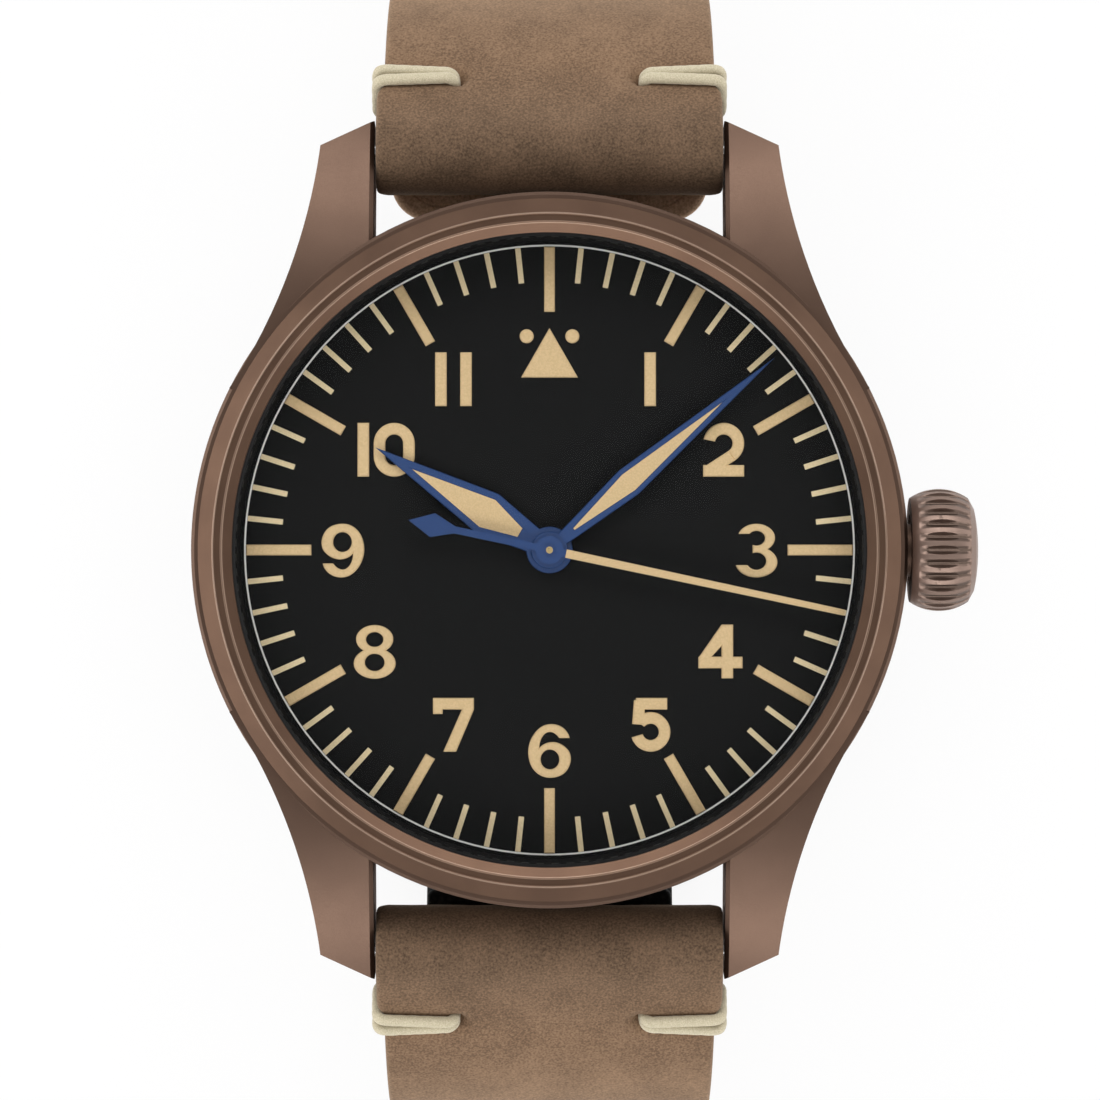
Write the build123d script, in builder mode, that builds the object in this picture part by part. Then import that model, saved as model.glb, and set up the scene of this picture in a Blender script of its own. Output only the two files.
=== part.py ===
from build123d import *
import math
import os

os.makedirs("parts", exist_ok=True)

# Case and back: +X to the crown, +Y to twelve, +Z out of the dial, zero on the back's outer face
case_diameter = 41.0
band_bottom_chamfer = 0.6
band_top_draft = 0.12
band_draft_height = 1.8
band_edge_break = 0.18
back_plate_thickness = 1.1
back_boss_wall = 0.9
back_boss_height = 1.5
back_notches = 6
back_notch_width = 2.0
back_notch_depth = 0.5
back_thread_clearance = 0.05
back_gasket_inset = 0.4
back_gasket_width = 0.5
back_gasket_height = 0.5
gasket_groove_clearance = 0.05
movement_bay_step = 1.55
back_boss_step = 1.3
back_plate_lip = 1.2
dial_ledge_drop = 0.8
neck_wall = 0.68
shoulder_level = 7.2
neck_step = 1.57
neck_height = 1.0

# Lugs
lug_gap = 20.1
bar_case_distance = 2.5
lug_tip_past_bar = 1.7
lug_root_inset = 2.3
lug_root_y = 9.2
lug_tip_width = 3.08
lug_tip_outer_past_bar = 0.2
lug_waist_width = 4.65
lug_waist_before_bar = 6.8
lug_core_overlap = 1.1
lug_top_flat_before_bar = 9.5
lug_tip_above_bar = 0.75
lug_tip_bevel = 0.45
lug_tip_underside = 0.6
lug_bottom_level = 0.0
lug_heel_past_bar = 0.3
lug_arch_before_bar = 5.0
lug_edge_chamfer = 0.24
bar_level = 3.0
lug_hole_radius = 0.5
lug_hole_depth = 1.4

# Bezel
bezel_setback = 0.62
bezel_wall_above_neck = 0.7
bezel_cone_width = 0.83
bezel_cone_rise = 0.72
bezel_ridge_width = 0.13
bezel_ridge_height = 0.09
bezel_inner_ridge_step = 0.63
bezel_bore_step = 0.32
bezel_chamfer_drop = 0.26
bezel_fit = 0.02

# Crystal and inner flange
crystal_gasket_width = 0.2
crystal_seat_gap = 0.05
crystal_edge_thickness = 1.1
crystal_dome_rise = 1.2
crystal_inner_rise = 0.55
flange_bottom_width = 0.65
flange_top_width = 0.4
flange_outer_clearance = 0.05

# Dial and its markings
dial_thickness = 0.4
dial_clearance = 0.05
dial_hole_diameter = 1.9
circle_inset = 0.27
circle_width = 0.1
print_height = 0.03
tick_inset = 0.07
tick_length = 2.01
tick_width = 0.31
tick_height = 0.06
baton_length = 3.71
baton_width = 0.61
lume_height = 0.14
lume_bevel = 0.06
hours = 12
minutes = 60
minutes_per_hour = minutes // hours
triangle_gap = 0.92
triangle_height = 2.82
triangle_half_width = 1.62
dot_radius = 0.4
dot_x = 1.3
dot_drop = 0.47
numeral_height = 3.06
numeral_stroke = 0.66
numeral_inset = 2.12

# Hands
hour_hand_gap = 2.05
hour_hand_hub_radius = 1.32
hour_hand_neck_half = 0.54
hour_hand_belly_half = 1.28
hour_hand_belly_at = 4.09
hour_hand_above_dial = 0.32
hour_lume_start = 1.95
hour_lume_start_half = 0.28
hour_lume_belly_half = 0.89
hour_lume_tip = 2.44
minute_hand_gap = 0.48
minute_hand_hub_radius = 1.06
minute_hand_neck_half = 0.28
minute_hand_belly_half = 0.87
minute_hand_belly_at = 5.91
hand_spacing = 0.16
minute_lume_start = 1.83
minute_lume_start_half = 0.06
minute_lume_belly_half = 0.57
minute_lume_tip = 3.95
hand_thickness = 0.14
hand_edge_chamfer = 0.04
second_hand_gap = 0.23
second_hand_hub_radius = 0.81
second_hand_root_half = 0.24
second_hand_tip_half = 0.17
second_lume_height = 0.04
second_lume_start = 0.96
second_tail_half = 0.2
second_tail_neck = 5.5
second_tail_belly_half = 0.69
second_tail_belly_at = 6.78
second_tail_length = 8.17
second_cap_radius = 0.27
second_cap_height = 0.12
hour_hand_angle = 300.5
minute_hand_angle = 49.5
second_hand_angle = 102.0

# Crown, tube and stem
stem_level = 4.7
stem_radius = 0.6
stem_inner_end = 6.0
stem_hole_clearance = 0.1
crown_gap = 0.12
crown_radius = 3.5
crown_base_radius = 2.98
crown_belly_reach = 1.68
crown_shoulder_reach = 3.33
crown_shoulder_radius = 2.98
crown_rim_reach = 3.65
crown_rim_radius = 2.4
crown_length = 3.88
crown_flutes = 28
crown_flute_radius = 0.3
crown_flute_depth = 0.16
crown_hollow_radius = 2.02
crown_hollow_depth = 1.9
crown_pull = 1.1
tube_radius = 1.5
tube_bore_radius = 0.75
tube_reach = 1.75
tube_root_depth = 0.5
crown_gasket_start = 0.15
crown_gasket_length = 0.5
seal_running_clearance = 0.02

# Movement: plates
movement_diameter = 26.0
plate_bottom_level = 4.6
plate_top_level = 6.0
bridge_bottom_level = 2.5
bridge_thickness = 0.85
movement_ring_clearance = 0.05
movement_ring_lip = 0.4
stem_channel_clearance = 0.1
bridge_edge_gap = 0.1
pillar_radius = 1.0
cock_foot_radius = 1.3
cock_head_radius = 1.5
balance_window_radius = 4.6
cock_gap = 0.3
screw_head_radius = 0.7
screw_head_height = 0.3
screw_shank_radius = 0.4
screw_length = 1.6
screw_slot_width = 0.18
screw_slot_depth = 0.12
jewel_radius = 0.55
jewel_thickness = 0.4
pivot_radius = 0.1
pivot_clearance = 0.04
pivot_length = 0.3
arbor_radius = 0.22

# Movement: wheel train
barrel_teeth = 80
barrel_module = 0.11
barrel_drum_radius = 4.05
barrel_drum_bottom = 3.9
barrel_drum_height = 0.65
barrel_rim_height = 0.25
barrel_pivot_radius = 0.45
intermediate_teeth = 80
intermediate_module = 0.08
intermediate_level = 3.6
third_teeth = 70
third_module = 0.085
third_level = 4.1
seconds_teeth = 80
seconds_module = 0.07
seconds_level = 3.85
train_pinion_teeth = 10
escape_pinion_teeth = 8
escape_teeth = 20
escape_radius = 2.2
escape_tooth_depth = 0.35
escape_level = 4.15
wheel_thickness = 0.18
wheel_rim_width = 0.5
wheel_hub_radius = 0.6
wheel_spokes = 4
wheel_spoke_width = 0.35
tooth_height_share = 1.7
mesh_play = 0.03
seconds_arbor_radius = 0.2
centre_bore_clearance = 0.05
third_direction = 150.0
intermediate_direction = 70.0
barrel_direction = 20.0
escape_direction = 270.0
fork_direction = 220.0
fork_distance = 2.7
balance_distance = 4.0
fork_bar_length = 2.6
fork_bar_width = 0.4
fork_tail_length = 3.1
fork_tail_width = 0.3
fork_pallet_length = 0.4
fork_pallet_width = 0.25
balance_radius = 3.6
balance_rim_width = 0.5
balance_level = 3.75
balance_thickness = 0.25
balance_spoke_width = 0.5
roller_radius = 0.5
hairspring_turns = 5
hairspring_inner_radius = 0.5
hairspring_pitch = 0.34
hairspring_strip = 0.1
hairspring_height = 0.15
hairspring_level = 3.45

# Movement: motion work under the dial
cannon_teeth = 12
cannon_module = 0.1
minute_wheel_teeth = 36
minute_pinion_teeth = 10
hour_wheel_teeth = 40
motion_lower_level = 6.03
motion_upper_level = 6.2
motion_thickness = 0.12
cannon_radius = 0.45
hour_pipe_wall = 0.25
motion_clearance = 0.05
minute_wheel_post_radius = 0.15
minute_wheel_post_depth = 0.6

# Rotor
rotor_radius = 12.4
rotor_web_thickness = 0.4
rotor_rim_width = 2.6
rotor_rim_thickness = 0.9
rotor_bottom_level = 1.35
rotor_hub_radius = 2.6
bearing_radius = 1.55
bearing_bore_radius = 0.7
bearing_bottom_level = 1.45

# Spring bars
bar_radius = 1.0
bar_end_gap = 0.45
bar_bore_radius = 0.75
bar_lip_length = 0.4
bar_tip_radius = 0.45
bar_tip_reach = 1.0
bar_tip_collar_radius = 0.68
bar_tip_collar_length = 0.6
bar_tip_inner_length = 1.6
bar_tip_travel = 1.1
bar_slide_clearance = 0.05
bar_spring_radius = 0.45
bar_spring_wire = 0.12
bar_spring_turns = 8

# Strap
strap_lug_clearance = 0.1
strap_stitch_step = 0.4
strap_frame_step = 0.13
strap_buckle_width = 16.0
strap_full_width_above_bar = 0.4
strap_stitch_below_bar = 0.05
strap_frame_level = -4.5
strap_taper_end_level = -32.0
outer_thickness = 1.5
lining_thickness = 0.9
roll_clearance = 0.05
case_relief = 0.1
relief_height = 3.6
strap_slope = 40.0
strap_leave = 4.6
shoulder_radius = 15.0
short_side = 8.0
short_bend_radius = 22.0
long_side_bend_radius = 24.0
layer_gap = 0.1
lining_start = 2.8
flap_inset = 0.75
flap_corner_radius = 2.2
flap_before_bar = 3.85
flap_thickness = 1.2
flap_past_bar = 1.9
flap_root_slant = 0.7
flap_bite = 0.5
tab_inset = 2.85
tab_before_bar = 3.3
tab_thickness = 0.9
tab_gap = 0.1
tab_heel_past_bar = 1.5
tab_crook_past_bar = 1.0
tab_bite = 0.3
tail_turn = 60.0
tail_tip_radius = 6.5
strap_hole_width = 2.2
strap_hole_pitch = 6.0
tongue_hole_length = 4.6
tongue_hole_past_pin = 1.9
strap_hole_count = 5
stitch_at = 3.4
stitch_spacing = 0.8
stitch_radius = 0.3
stitch_inner_x = 5.5
stitch_under_x = 7.6
stitch_bend = 0.5
thread_rest = 0.02

# Buckle and keepers
buckle_bar_y = -11.0
buckle_pin_radius = 0.65
buckle_roll_clearance = 0.05
buckle_roll_wall = 1.0
buckle_reach = 9.0
buckle_side_gap = 0.6
buckle_arm_width = 2.3
buckle_arm_height = 2.4
buckle_corner_radius = 3.0
front_bar_radius = 1.2
front_bar_gap = 0.2
pin_end_inset = 0.3
tongue_slot_width = 3.0
tongue_width = 1.9
tongue_thickness = 1.1
tongue_ring_wall = 0.55
tongue_ring_clearance = 0.05
tongue_leg_past_pin = 2.6
tongue_run_past_pin = 3.8
tongue_tip_overhang = 1.3
tongue_rest_gap = 0.05
keeper_side_clearance = 0.25
keeper_layer_clearance = 0.1
keeper_slide_clearance = 0.05
keeper_wall = 1.2
keeper_inner_wall = 1.0
keeper_sole = 1.3
keeper_length = 4.0
keeper_corner = 0.8
fixed_keeper_from_pin = 4.4
keeper_spacing = 9.6

# Shared by all cuts
overrun = 1.0

# Worked out from the sizes above
case_radius = case_diameter / 2
case_bottom = back_plate_thickness
neck_diameter = case_diameter - 2 * neck_step
dial_bay_diameter = neck_diameter - 2 * neck_wall
movement_bay_diameter = dial_bay_diameter - 2 * movement_bay_step
back_boss_diameter = movement_bay_diameter - 2 * back_boss_step
back_plate_diameter = back_boss_diameter + 2 * back_plate_lip
back_gasket_inner_diameter = back_boss_diameter + 2 * back_gasket_inset
bezel_diameter = case_diameter - 2 * bezel_setback
bezel_cone_diameter = bezel_diameter - 2 * bezel_cone_width
bezel_bore_diameter = dial_bay_diameter - 2 * bezel_bore_step
bezel_inner_ridge_diameter = bezel_bore_diameter + 2 * bezel_inner_ridge_step
dial_ledge_level = shoulder_level - dial_ledge_drop
neck_top_level = shoulder_level + neck_height
bezel_wall_top = neck_top_level + bezel_wall_above_neck
bezel_cone_top = bezel_wall_top + bezel_cone_rise
crystal_bottom_level = neck_top_level + crystal_seat_gap
flange_bottom_inner_diameter = dial_bay_diameter - 2 * flange_bottom_width
flange_top_inner_diameter = dial_bay_diameter - 2 * flange_top_width
bar_reach_y = case_radius + bar_case_distance
lug_root_x = case_radius - lug_root_inset
lug_waist_x = lug_gap / 2 + lug_waist_width
lug_waist_y = bar_reach_y - lug_waist_before_bar
lug_tip_outer_x = lug_gap / 2 + lug_tip_width
lug_tip_outer_y = bar_reach_y + lug_tip_outer_past_bar
lug_top_flat_y = bar_reach_y - lug_top_flat_before_bar
lug_tip_level = bar_level + lug_tip_above_bar
lug_heel_y = bar_reach_y + lug_heel_past_bar
lug_arch_y = bar_reach_y - lug_arch_before_bar
back_bore_radius = back_boss_diameter / 2 + back_thread_clearance
bay_floor_level = case_bottom + back_boss_height + back_thread_clearance
movement_radius = movement_diameter / 2
dial_level = dial_ledge_level + dial_thickness
circle_radius = flange_bottom_inner_diameter / 2 - circle_inset
tick_outer_radius = circle_radius - tick_inset
tick_inner_radius = tick_outer_radius - tick_length
baton_inner_radius = tick_outer_radius - baton_length
triangle_apex_y = baton_inner_radius - triangle_gap
triangle_base_y = triangle_apex_y - triangle_height
dot_y = triangle_apex_y - dot_drop
numeral_circle = baton_inner_radius - numeral_inset
hour_hand_length = baton_inner_radius - hour_hand_gap
hour_lume_end = hour_hand_length - hour_lume_tip
minute_hand_length = circle_radius - minute_hand_gap
minute_lume_end = minute_hand_length - minute_lume_tip
second_hand_length = circle_radius - second_hand_gap
hour_hand_level = dial_level + hour_hand_above_dial
minute_hand_level = hour_hand_level + hand_thickness + hand_spacing
second_hand_level = minute_hand_level + hand_thickness + hand_spacing
crown_base_x = case_radius + crown_gap
crown_belly_x = crown_base_x + crown_belly_reach
crown_shoulder_x = crown_base_x + crown_shoulder_reach
crown_rim_x = crown_base_x + crown_rim_reach
tube_root_x = movement_bay_diameter / 2 + tube_root_depth
bridge_top_level = bridge_bottom_level + bridge_thickness
lug_inner_x = lug_gap / 2
lug_tip_y = bar_reach_y + lug_tip_past_bar
bar_half_length = lug_inner_x - bar_end_gap
strap_lug_width = lug_gap - 2 * strap_lug_clearance
strap_stitch_width = strap_lug_width - 2 * strap_stitch_step
strap_frame_width = strap_stitch_width - 2 * strap_frame_step
strap_full_width_level = bar_level + strap_full_width_above_bar
strap_stitch_level = bar_level - strap_stitch_below_bar
flap_width = strap_lug_width - 2 * flap_inset
flap_end_y = bar_reach_y - flap_before_bar
flap_root_y = bar_reach_y + flap_past_bar
tab_width = strap_lug_width - 2 * tab_inset
tab_end_y = bar_reach_y - tab_before_bar
tab_heel_y = bar_reach_y + tab_heel_past_bar
tab_crook_y = bar_reach_y + tab_crook_past_bar
roll_inner_radius = bar_radius + roll_clearance
roll_radius = roll_inner_radius + outer_thickness
slope = math.radians(strap_slope)
seam_start = Vector(
    bar_reach_y + roll_inner_radius * math.sin(slope),
    bar_level + roll_inner_radius * math.cos(slope),
)
shoulder_end_y = seam_start.X + strap_leave * math.cos(slope) + shoulder_radius * (1 - math.sin(slope))
shoulder_end_level = seam_start.Y - strap_leave * math.sin(slope) - shoulder_radius * math.cos(slope)
short_bottom = shoulder_end_level - short_side - short_bend_radius
short_flat_y = shoulder_end_y - short_bend_radius
short_outer_level = short_bottom - outer_thickness
long_bottom = short_outer_level - layer_gap - lining_thickness
long_side = shoulder_end_level - long_side_bend_radius - long_bottom
long_flat_y = -(shoulder_end_y - long_side_bend_radius)
long_outer_level = long_bottom - outer_thickness
rest_level = long_outer_level - keeper_layer_clearance - keeper_sole
buckle_roll_bore = buckle_pin_radius + buckle_roll_clearance
buckle_roll_radius = buckle_roll_bore + buckle_roll_wall
buckle_bar_level = short_outer_level + buckle_roll_radius
tail_bend_radius = short_bend_radius + outer_thickness + layer_gap + lining_thickness
tongue_hole_y = buckle_bar_y - tongue_hole_past_pin
tongue_leg_y = buckle_bar_y - tongue_leg_past_pin
tongue_run_start_y = buckle_bar_y - tongue_run_past_pin
fixed_keeper_y = buckle_bar_y + fixed_keeper_from_pin
sliding_keeper_y = fixed_keeper_y + keeper_spacing


def along(angle, distance, start=(0, 0)):
    """Point at a distance from start in a direction given in degrees."""
    turn = math.radians(angle)
    return Vector(start) + Vector(distance * math.cos(turn), distance * math.sin(turn))


def clock(angle):
    """Turn that points a hand drawn towards twelve at a clockwise angle."""
    return -angle


def dome_level(edge_level, rise, radius, at):
    """Height of a spherical cap at a distance from its axis."""
    sphere = (radius**2 + rise**2) / (2 * rise)
    return edge_level + rise - sphere + math.sqrt(sphere**2 - at**2)


def draw_gear(teeth, module, centre=(0, 0), start_angle=0.0):
    """Toothed face in the open sketch."""
    pitch_radius = teeth * module / 2
    half_tooth = tooth_height_share * module / 2
    points = []
    for index in range(teeth):
        for step, lift in ((0.0, half_tooth), (0.25, half_tooth), (0.5, -half_tooth), (0.75, -half_tooth)):
            points.append(along(start_angle + 360 * (index + step) / teeth, pitch_radius + lift, centre))
    with BuildLine() as edge_line:
        Polyline(*points, close=True)
    make_face(edge_line.edges())


def draw_strip(start, heading, runs, near, far):
    """Outline of a strip whose two faces lie near and far to the left of a line of runs.

    Each run is (length, 0) for a straight or (radius, turn) for an arc, turns in degrees.
    """
    ends = []
    with BuildLine() as edge_line:
        for shift in (near, far):
            point = Vector(start.X, start.Y)
            angle = heading
            first = None
            for size, turn in runs:
                left = along(angle + 90, shift)
                edge_start = point + left
                if first is None:
                    first = edge_start
                if turn == 0:
                    point = point + along(angle, size)
                    Line(edge_start, point + left)
                else:
                    side = 1 if turn > 0 else -1
                    JernArc(edge_start, along(angle, 1), size - side * shift, turn)
                    centre = point + along(angle + side * 90, size)
                    angle = angle + turn
                    point = centre + along(angle - side * 90, size)
            ends.append((first, point + along(angle + 90, shift)))
        Line(ends[0][0], ends[1][0])
        Line(ends[0][1], ends[1][1])
    make_face(edge_line.edges())


# Case middle: turned band with four lugs
band_outline = [
    (back_bore_radius, case_bottom),
    (case_radius - band_bottom_chamfer, case_bottom),
    (case_radius, case_bottom + band_bottom_chamfer),
    (case_radius, shoulder_level - band_draft_height),
    (case_radius - band_top_draft, shoulder_level - band_edge_break),
    (case_radius - band_top_draft - band_edge_break, shoulder_level),
    (neck_diameter / 2, shoulder_level),
    (neck_diameter / 2, neck_top_level),
    (dial_bay_diameter / 2, neck_top_level),
    (dial_bay_diameter / 2, dial_ledge_level),
    (movement_bay_diameter / 2, dial_ledge_level),
    (movement_bay_diameter / 2, bay_floor_level),
    (back_bore_radius, bay_floor_level),
]
groove_inner = back_gasket_inner_diameter / 2 - gasket_groove_clearance
groove_outer = back_gasket_inner_diameter / 2 + back_gasket_width + gasket_groove_clearance

with BuildPart() as lug:
    with BuildSketch(Plane.XY.offset(lug_bottom_level - overrun)) as lug_plan:
        with BuildLine():
            ThreePointArc(
                (lug_root_x, lug_root_y),
                (lug_waist_x, lug_waist_y),
                (lug_tip_outer_x, lug_tip_outer_y),
            )
            Line((lug_tip_outer_x, lug_tip_outer_y), (lug_inner_x, lug_tip_y))
            Line((lug_inner_x, lug_tip_y), (lug_inner_x, lug_root_y))
            Line((lug_inner_x, lug_root_y), (lug_root_x, lug_root_y))
        make_face()
        Circle(case_radius - lug_core_overlap, mode=Mode.SUBTRACT)
    extrude(amount=shoulder_level - lug_bottom_level + 2 * overrun)
    with BuildSketch(Plane.YZ) as lug_side:
        with BuildLine():
            Line((0, shoulder_level), (lug_top_flat_y, shoulder_level))
            top = TangentArc((lug_top_flat_y, shoulder_level), (lug_tip_y, lug_tip_level), tangent=(1, 0))
            Polyline(
                top @ 1,
                (lug_tip_y - lug_tip_bevel, lug_tip_underside),
                (lug_heel_y, lug_bottom_level),
                (lug_arch_y, case_bottom),
                (0, case_bottom),
                (0, shoulder_level),
            )
        make_face()
    extrude(amount=case_radius, both=True, mode=Mode.INTERSECT)
    inner_wall = lug.faces().filter_by(Axis.X).sort_by(Axis.X)[0]
    chamfer(inner_wall.edges().filter_by(GeomType.CIRCLE), lug_edge_chamfer)
    with BuildSketch(Plane.YZ.offset(lug_inner_x)):
        with Locations((bar_reach_y, bar_level)):
            Circle(lug_hole_radius)
    extrude(amount=lug_hole_depth, mode=Mode.SUBTRACT)

with BuildPart() as case_middle:
    with BuildSketch(Plane.XZ):
        Polygon(*band_outline, align=None)
    revolve(axis=Axis.Z)
    add(lug.part)
    add(lug.part.mirror(Plane.YZ))
    add(lug.part.mirror(Plane.XZ))
    add(lug.part.mirror(Plane.YZ).mirror(Plane.XZ))
    with BuildSketch(Plane.XY.offset(case_bottom)):
        Circle(groove_outer)
        Circle(groove_inner, mode=Mode.SUBTRACT)
    extrude(amount=back_gasket_height, mode=Mode.SUBTRACT)
    with BuildSketch(Plane.YZ.offset(movement_bay_diameter / 2 - overrun)):
        with Locations((0, stem_level)):
            Circle(tube_radius)
    extrude(amount=case_radius - movement_bay_diameter / 2 + 2 * overrun, mode=Mode.SUBTRACT)
case_middle.part.label = "case_middle"
export_step(case_middle.part, "parts/case_middle.step")

# Bezel with a cone, two fine ridges and an inner chamfer
bore_radius = bezel_bore_diameter / 2
cone_radius = bezel_cone_diameter / 2
inner_ridge_radius = bezel_inner_ridge_diameter / 2
ridge_level = bezel_cone_top + bezel_ridge_height
with BuildPart() as bezel:
    with BuildSketch(Plane.XZ):
        Polygon(
            (bezel_diameter / 2, shoulder_level),
            (bezel_diameter / 2, bezel_wall_top),
            (cone_radius, bezel_cone_top),
            (cone_radius - bezel_ridge_width / 3, ridge_level),
            (cone_radius - 2 * bezel_ridge_width / 3, ridge_level),
            (cone_radius - bezel_ridge_width, bezel_cone_top),
            (inner_ridge_radius, bezel_cone_top),
            (inner_ridge_radius - bezel_ridge_width / 3, ridge_level),
            (inner_ridge_radius - 2 * bezel_ridge_width / 3, ridge_level),
            (bore_radius, ridge_level - bezel_chamfer_drop),
            (bore_radius, neck_top_level + bezel_fit),
            (neck_diameter / 2 + bezel_fit, neck_top_level + bezel_fit),
            (neck_diameter / 2 + bezel_fit, shoulder_level),
            align=None,
        )
    revolve(axis=Axis.Z)
bezel.part.label = "bezel"
export_step(bezel.part, "parts/bezel.step")

# Crystal, its gasket, and the inner flange that carries it
crystal_radius = bore_radius - crystal_gasket_width
crystal_edge_top = crystal_bottom_level + crystal_edge_thickness
crystal_top = crystal_edge_top + crystal_dome_rise
half_way = crystal_radius / 2
with BuildPart() as crystal:
    with BuildSketch(Plane.XZ):
        with BuildLine():
            Line((crystal_radius, crystal_bottom_level), (crystal_radius, crystal_edge_top))
            ThreePointArc(
                (crystal_radius, crystal_edge_top),
                (half_way, dome_level(crystal_edge_top, crystal_dome_rise, crystal_radius, half_way)),
                (0, crystal_top),
            )
            Line((0, crystal_top), (0, crystal_bottom_level + crystal_inner_rise))
            ThreePointArc(
                (0, crystal_bottom_level + crystal_inner_rise),
                (half_way, dome_level(crystal_bottom_level, crystal_inner_rise, crystal_radius, half_way)),
                (crystal_radius, crystal_bottom_level),
            )
        make_face()
    revolve(axis=Axis.Z)
crystal.part.label = "crystal"
export_step(crystal.part, "parts/crystal.step")

with BuildPart() as crystal_gasket:
    with BuildSketch(Plane.XY.offset(crystal_bottom_level)):
        Circle(bore_radius)
        Circle(crystal_radius, mode=Mode.SUBTRACT)
    extrude(amount=crystal_edge_thickness - bezel_chamfer_drop)
crystal_gasket.part.label = "crystal_gasket"
export_step(crystal_gasket.part, "parts/crystal_gasket.step")

with BuildPart() as inner_flange:
    with BuildSketch(Plane.XZ):
        Polygon(
            (flange_bottom_inner_diameter / 2, dial_level),
            (dial_bay_diameter / 2 - flange_outer_clearance, dial_level),
            (dial_bay_diameter / 2 - flange_outer_clearance, neck_top_level),
            (flange_top_inner_diameter / 2, neck_top_level),
            align=None,
        )
    revolve(axis=Axis.Z)
inner_flange.part.label = "inner_flange"
export_step(inner_flange.part, "parts/inner_flange.step")

# Case back with wrench notches and a threaded boss, and its gasket
with BuildPart() as case_back:
    with BuildSketch():
        Circle(back_plate_diameter / 2)
    extrude(amount=back_plate_thickness)
    with BuildSketch(Plane.XY.offset(back_plate_thickness)):
        Circle(back_boss_diameter / 2)
        Circle(back_boss_diameter / 2 - back_boss_wall, mode=Mode.SUBTRACT)
    extrude(amount=back_boss_height)
    with BuildSketch():
        with PolarLocations(back_plate_diameter / 2, back_notches):
            Rectangle(2 * back_notch_width, back_notch_width)
    extrude(amount=back_notch_depth, mode=Mode.SUBTRACT)
case_back.part.label = "case_back"
export_step(case_back.part, "parts/case_back.step")

with BuildPart() as case_back_gasket:
    with BuildSketch(Plane.XY.offset(case_bottom)):
        Circle(back_gasket_inner_diameter / 2 + back_gasket_width)
        Circle(back_gasket_inner_diameter / 2, mode=Mode.SUBTRACT)
    extrude(amount=back_gasket_height)
case_back_gasket.part.label = "case_back_gasket"
export_step(case_back_gasket.part, "parts/case_back_gasket.step")

# Crown, tube, seal and stem on one axis at three o'clock
crown_axis = Axis((0, 0, stem_level), (1, 0, 0))
crown_end = crown_base_x + crown_length
crown_plane = Plane.YZ.offset(crown_base_x)


def stem_disc(start_x, length, radius, mode=Mode.ADD):
    """Cylinder on the stem's axis, added to the open part."""
    with BuildSketch(Plane.YZ.offset(start_x)) as outline:
        with Locations((0, stem_level)):
            Circle(radius)
    extrude(outline.sketch, amount=length, mode=mode)


with BuildPart() as crown:
    with BuildSketch(Plane.XZ):
        with BuildLine():
            Line((crown_base_x, stem_level), (crown_base_x, stem_level + crown_base_radius))
            ThreePointArc(
                (crown_base_x, stem_level + crown_base_radius),
                (crown_belly_x, stem_level + crown_radius),
                (crown_shoulder_x, stem_level + crown_shoulder_radius),
            )
            Line(
                (crown_shoulder_x, stem_level + crown_shoulder_radius),
                (crown_rim_x, stem_level + crown_rim_radius),
            )
            ThreePointArc(
                (crown_rim_x, stem_level + crown_rim_radius),
                (crown_rim_x + (crown_end - crown_rim_x) * 0.75, stem_level + crown_rim_radius * 0.6),
                (crown_end, stem_level + crown_rim_radius / 4),
            )
            Line((crown_end, stem_level + crown_rim_radius / 4), (crown_end, stem_level))
            Line((crown_end, stem_level), (crown_base_x, stem_level))
        make_face()
    revolve(axis=crown_axis)
    with BuildSketch(crown_plane.offset(-overrun)):
        with Locations((0, stem_level)):
            with PolarLocations(crown_radius - crown_flute_depth + crown_flute_radius, crown_flutes):
                Circle(crown_flute_radius)
    extrude(amount=crown_length + 2 * overrun, mode=Mode.SUBTRACT)
    stem_disc(crown_base_x, crown_hollow_depth, crown_hollow_radius, Mode.SUBTRACT)
    stem_disc(crown_base_x + crown_hollow_depth, stem_radius, stem_radius, Mode.SUBTRACT)
crown.part.label = "crown"
export_step(crown.part, "parts/crown.step")

stem_end = crown_base_x + crown_hollow_depth + stem_radius
with BuildPart() as winding_stem:
    stem_disc(stem_inner_end, stem_end - stem_inner_end, stem_radius)
winding_stem.part.label = "winding_stem"
export_step(winding_stem.part, "parts/winding_stem.step")

with BuildPart() as crown_tube:
    stem_disc(tube_root_x, crown_base_x + tube_reach - tube_root_x, tube_radius)
    stem_disc(tube_root_x - overrun, crown_base_x + 2 * overrun, tube_bore_radius, Mode.SUBTRACT)
crown_tube.part.label = "crown_tube"
export_step(crown_tube.part, "parts/crown_tube.step")

with BuildPart() as crown_gasket:
    gasket_x = crown_base_x + crown_gasket_start
    stem_disc(gasket_x, crown_gasket_length, crown_hollow_radius - seal_running_clearance)
    stem_disc(gasket_x, crown_gasket_length, tube_radius + seal_running_clearance, Mode.SUBTRACT)
crown_gasket.part.label = "crown_gasket"
export_step(crown_gasket.part, "parts/crown_gasket.step")

# Dial plate and its markings
with BuildPart() as dial_plate:
    with BuildSketch(Plane.XY.offset(dial_ledge_level)):
        Circle(dial_bay_diameter / 2 - dial_clearance)
        Circle(dial_hole_diameter / 2, mode=Mode.SUBTRACT)
    extrude(amount=dial_thickness)
dial_plate.part.label = "dial_plate"
export_step(dial_plate.part, "parts/dial_plate.step")

with BuildPart() as minute_circle:
    with BuildSketch(Plane.XY.offset(dial_level)):
        Circle(circle_radius + circle_width / 2)
        Circle(circle_radius - circle_width / 2, mode=Mode.SUBTRACT)
    extrude(amount=print_height)
minute_circle.part.label = "minute_circle"
export_step(minute_circle.part, "parts/minute_circle.step")

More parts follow.
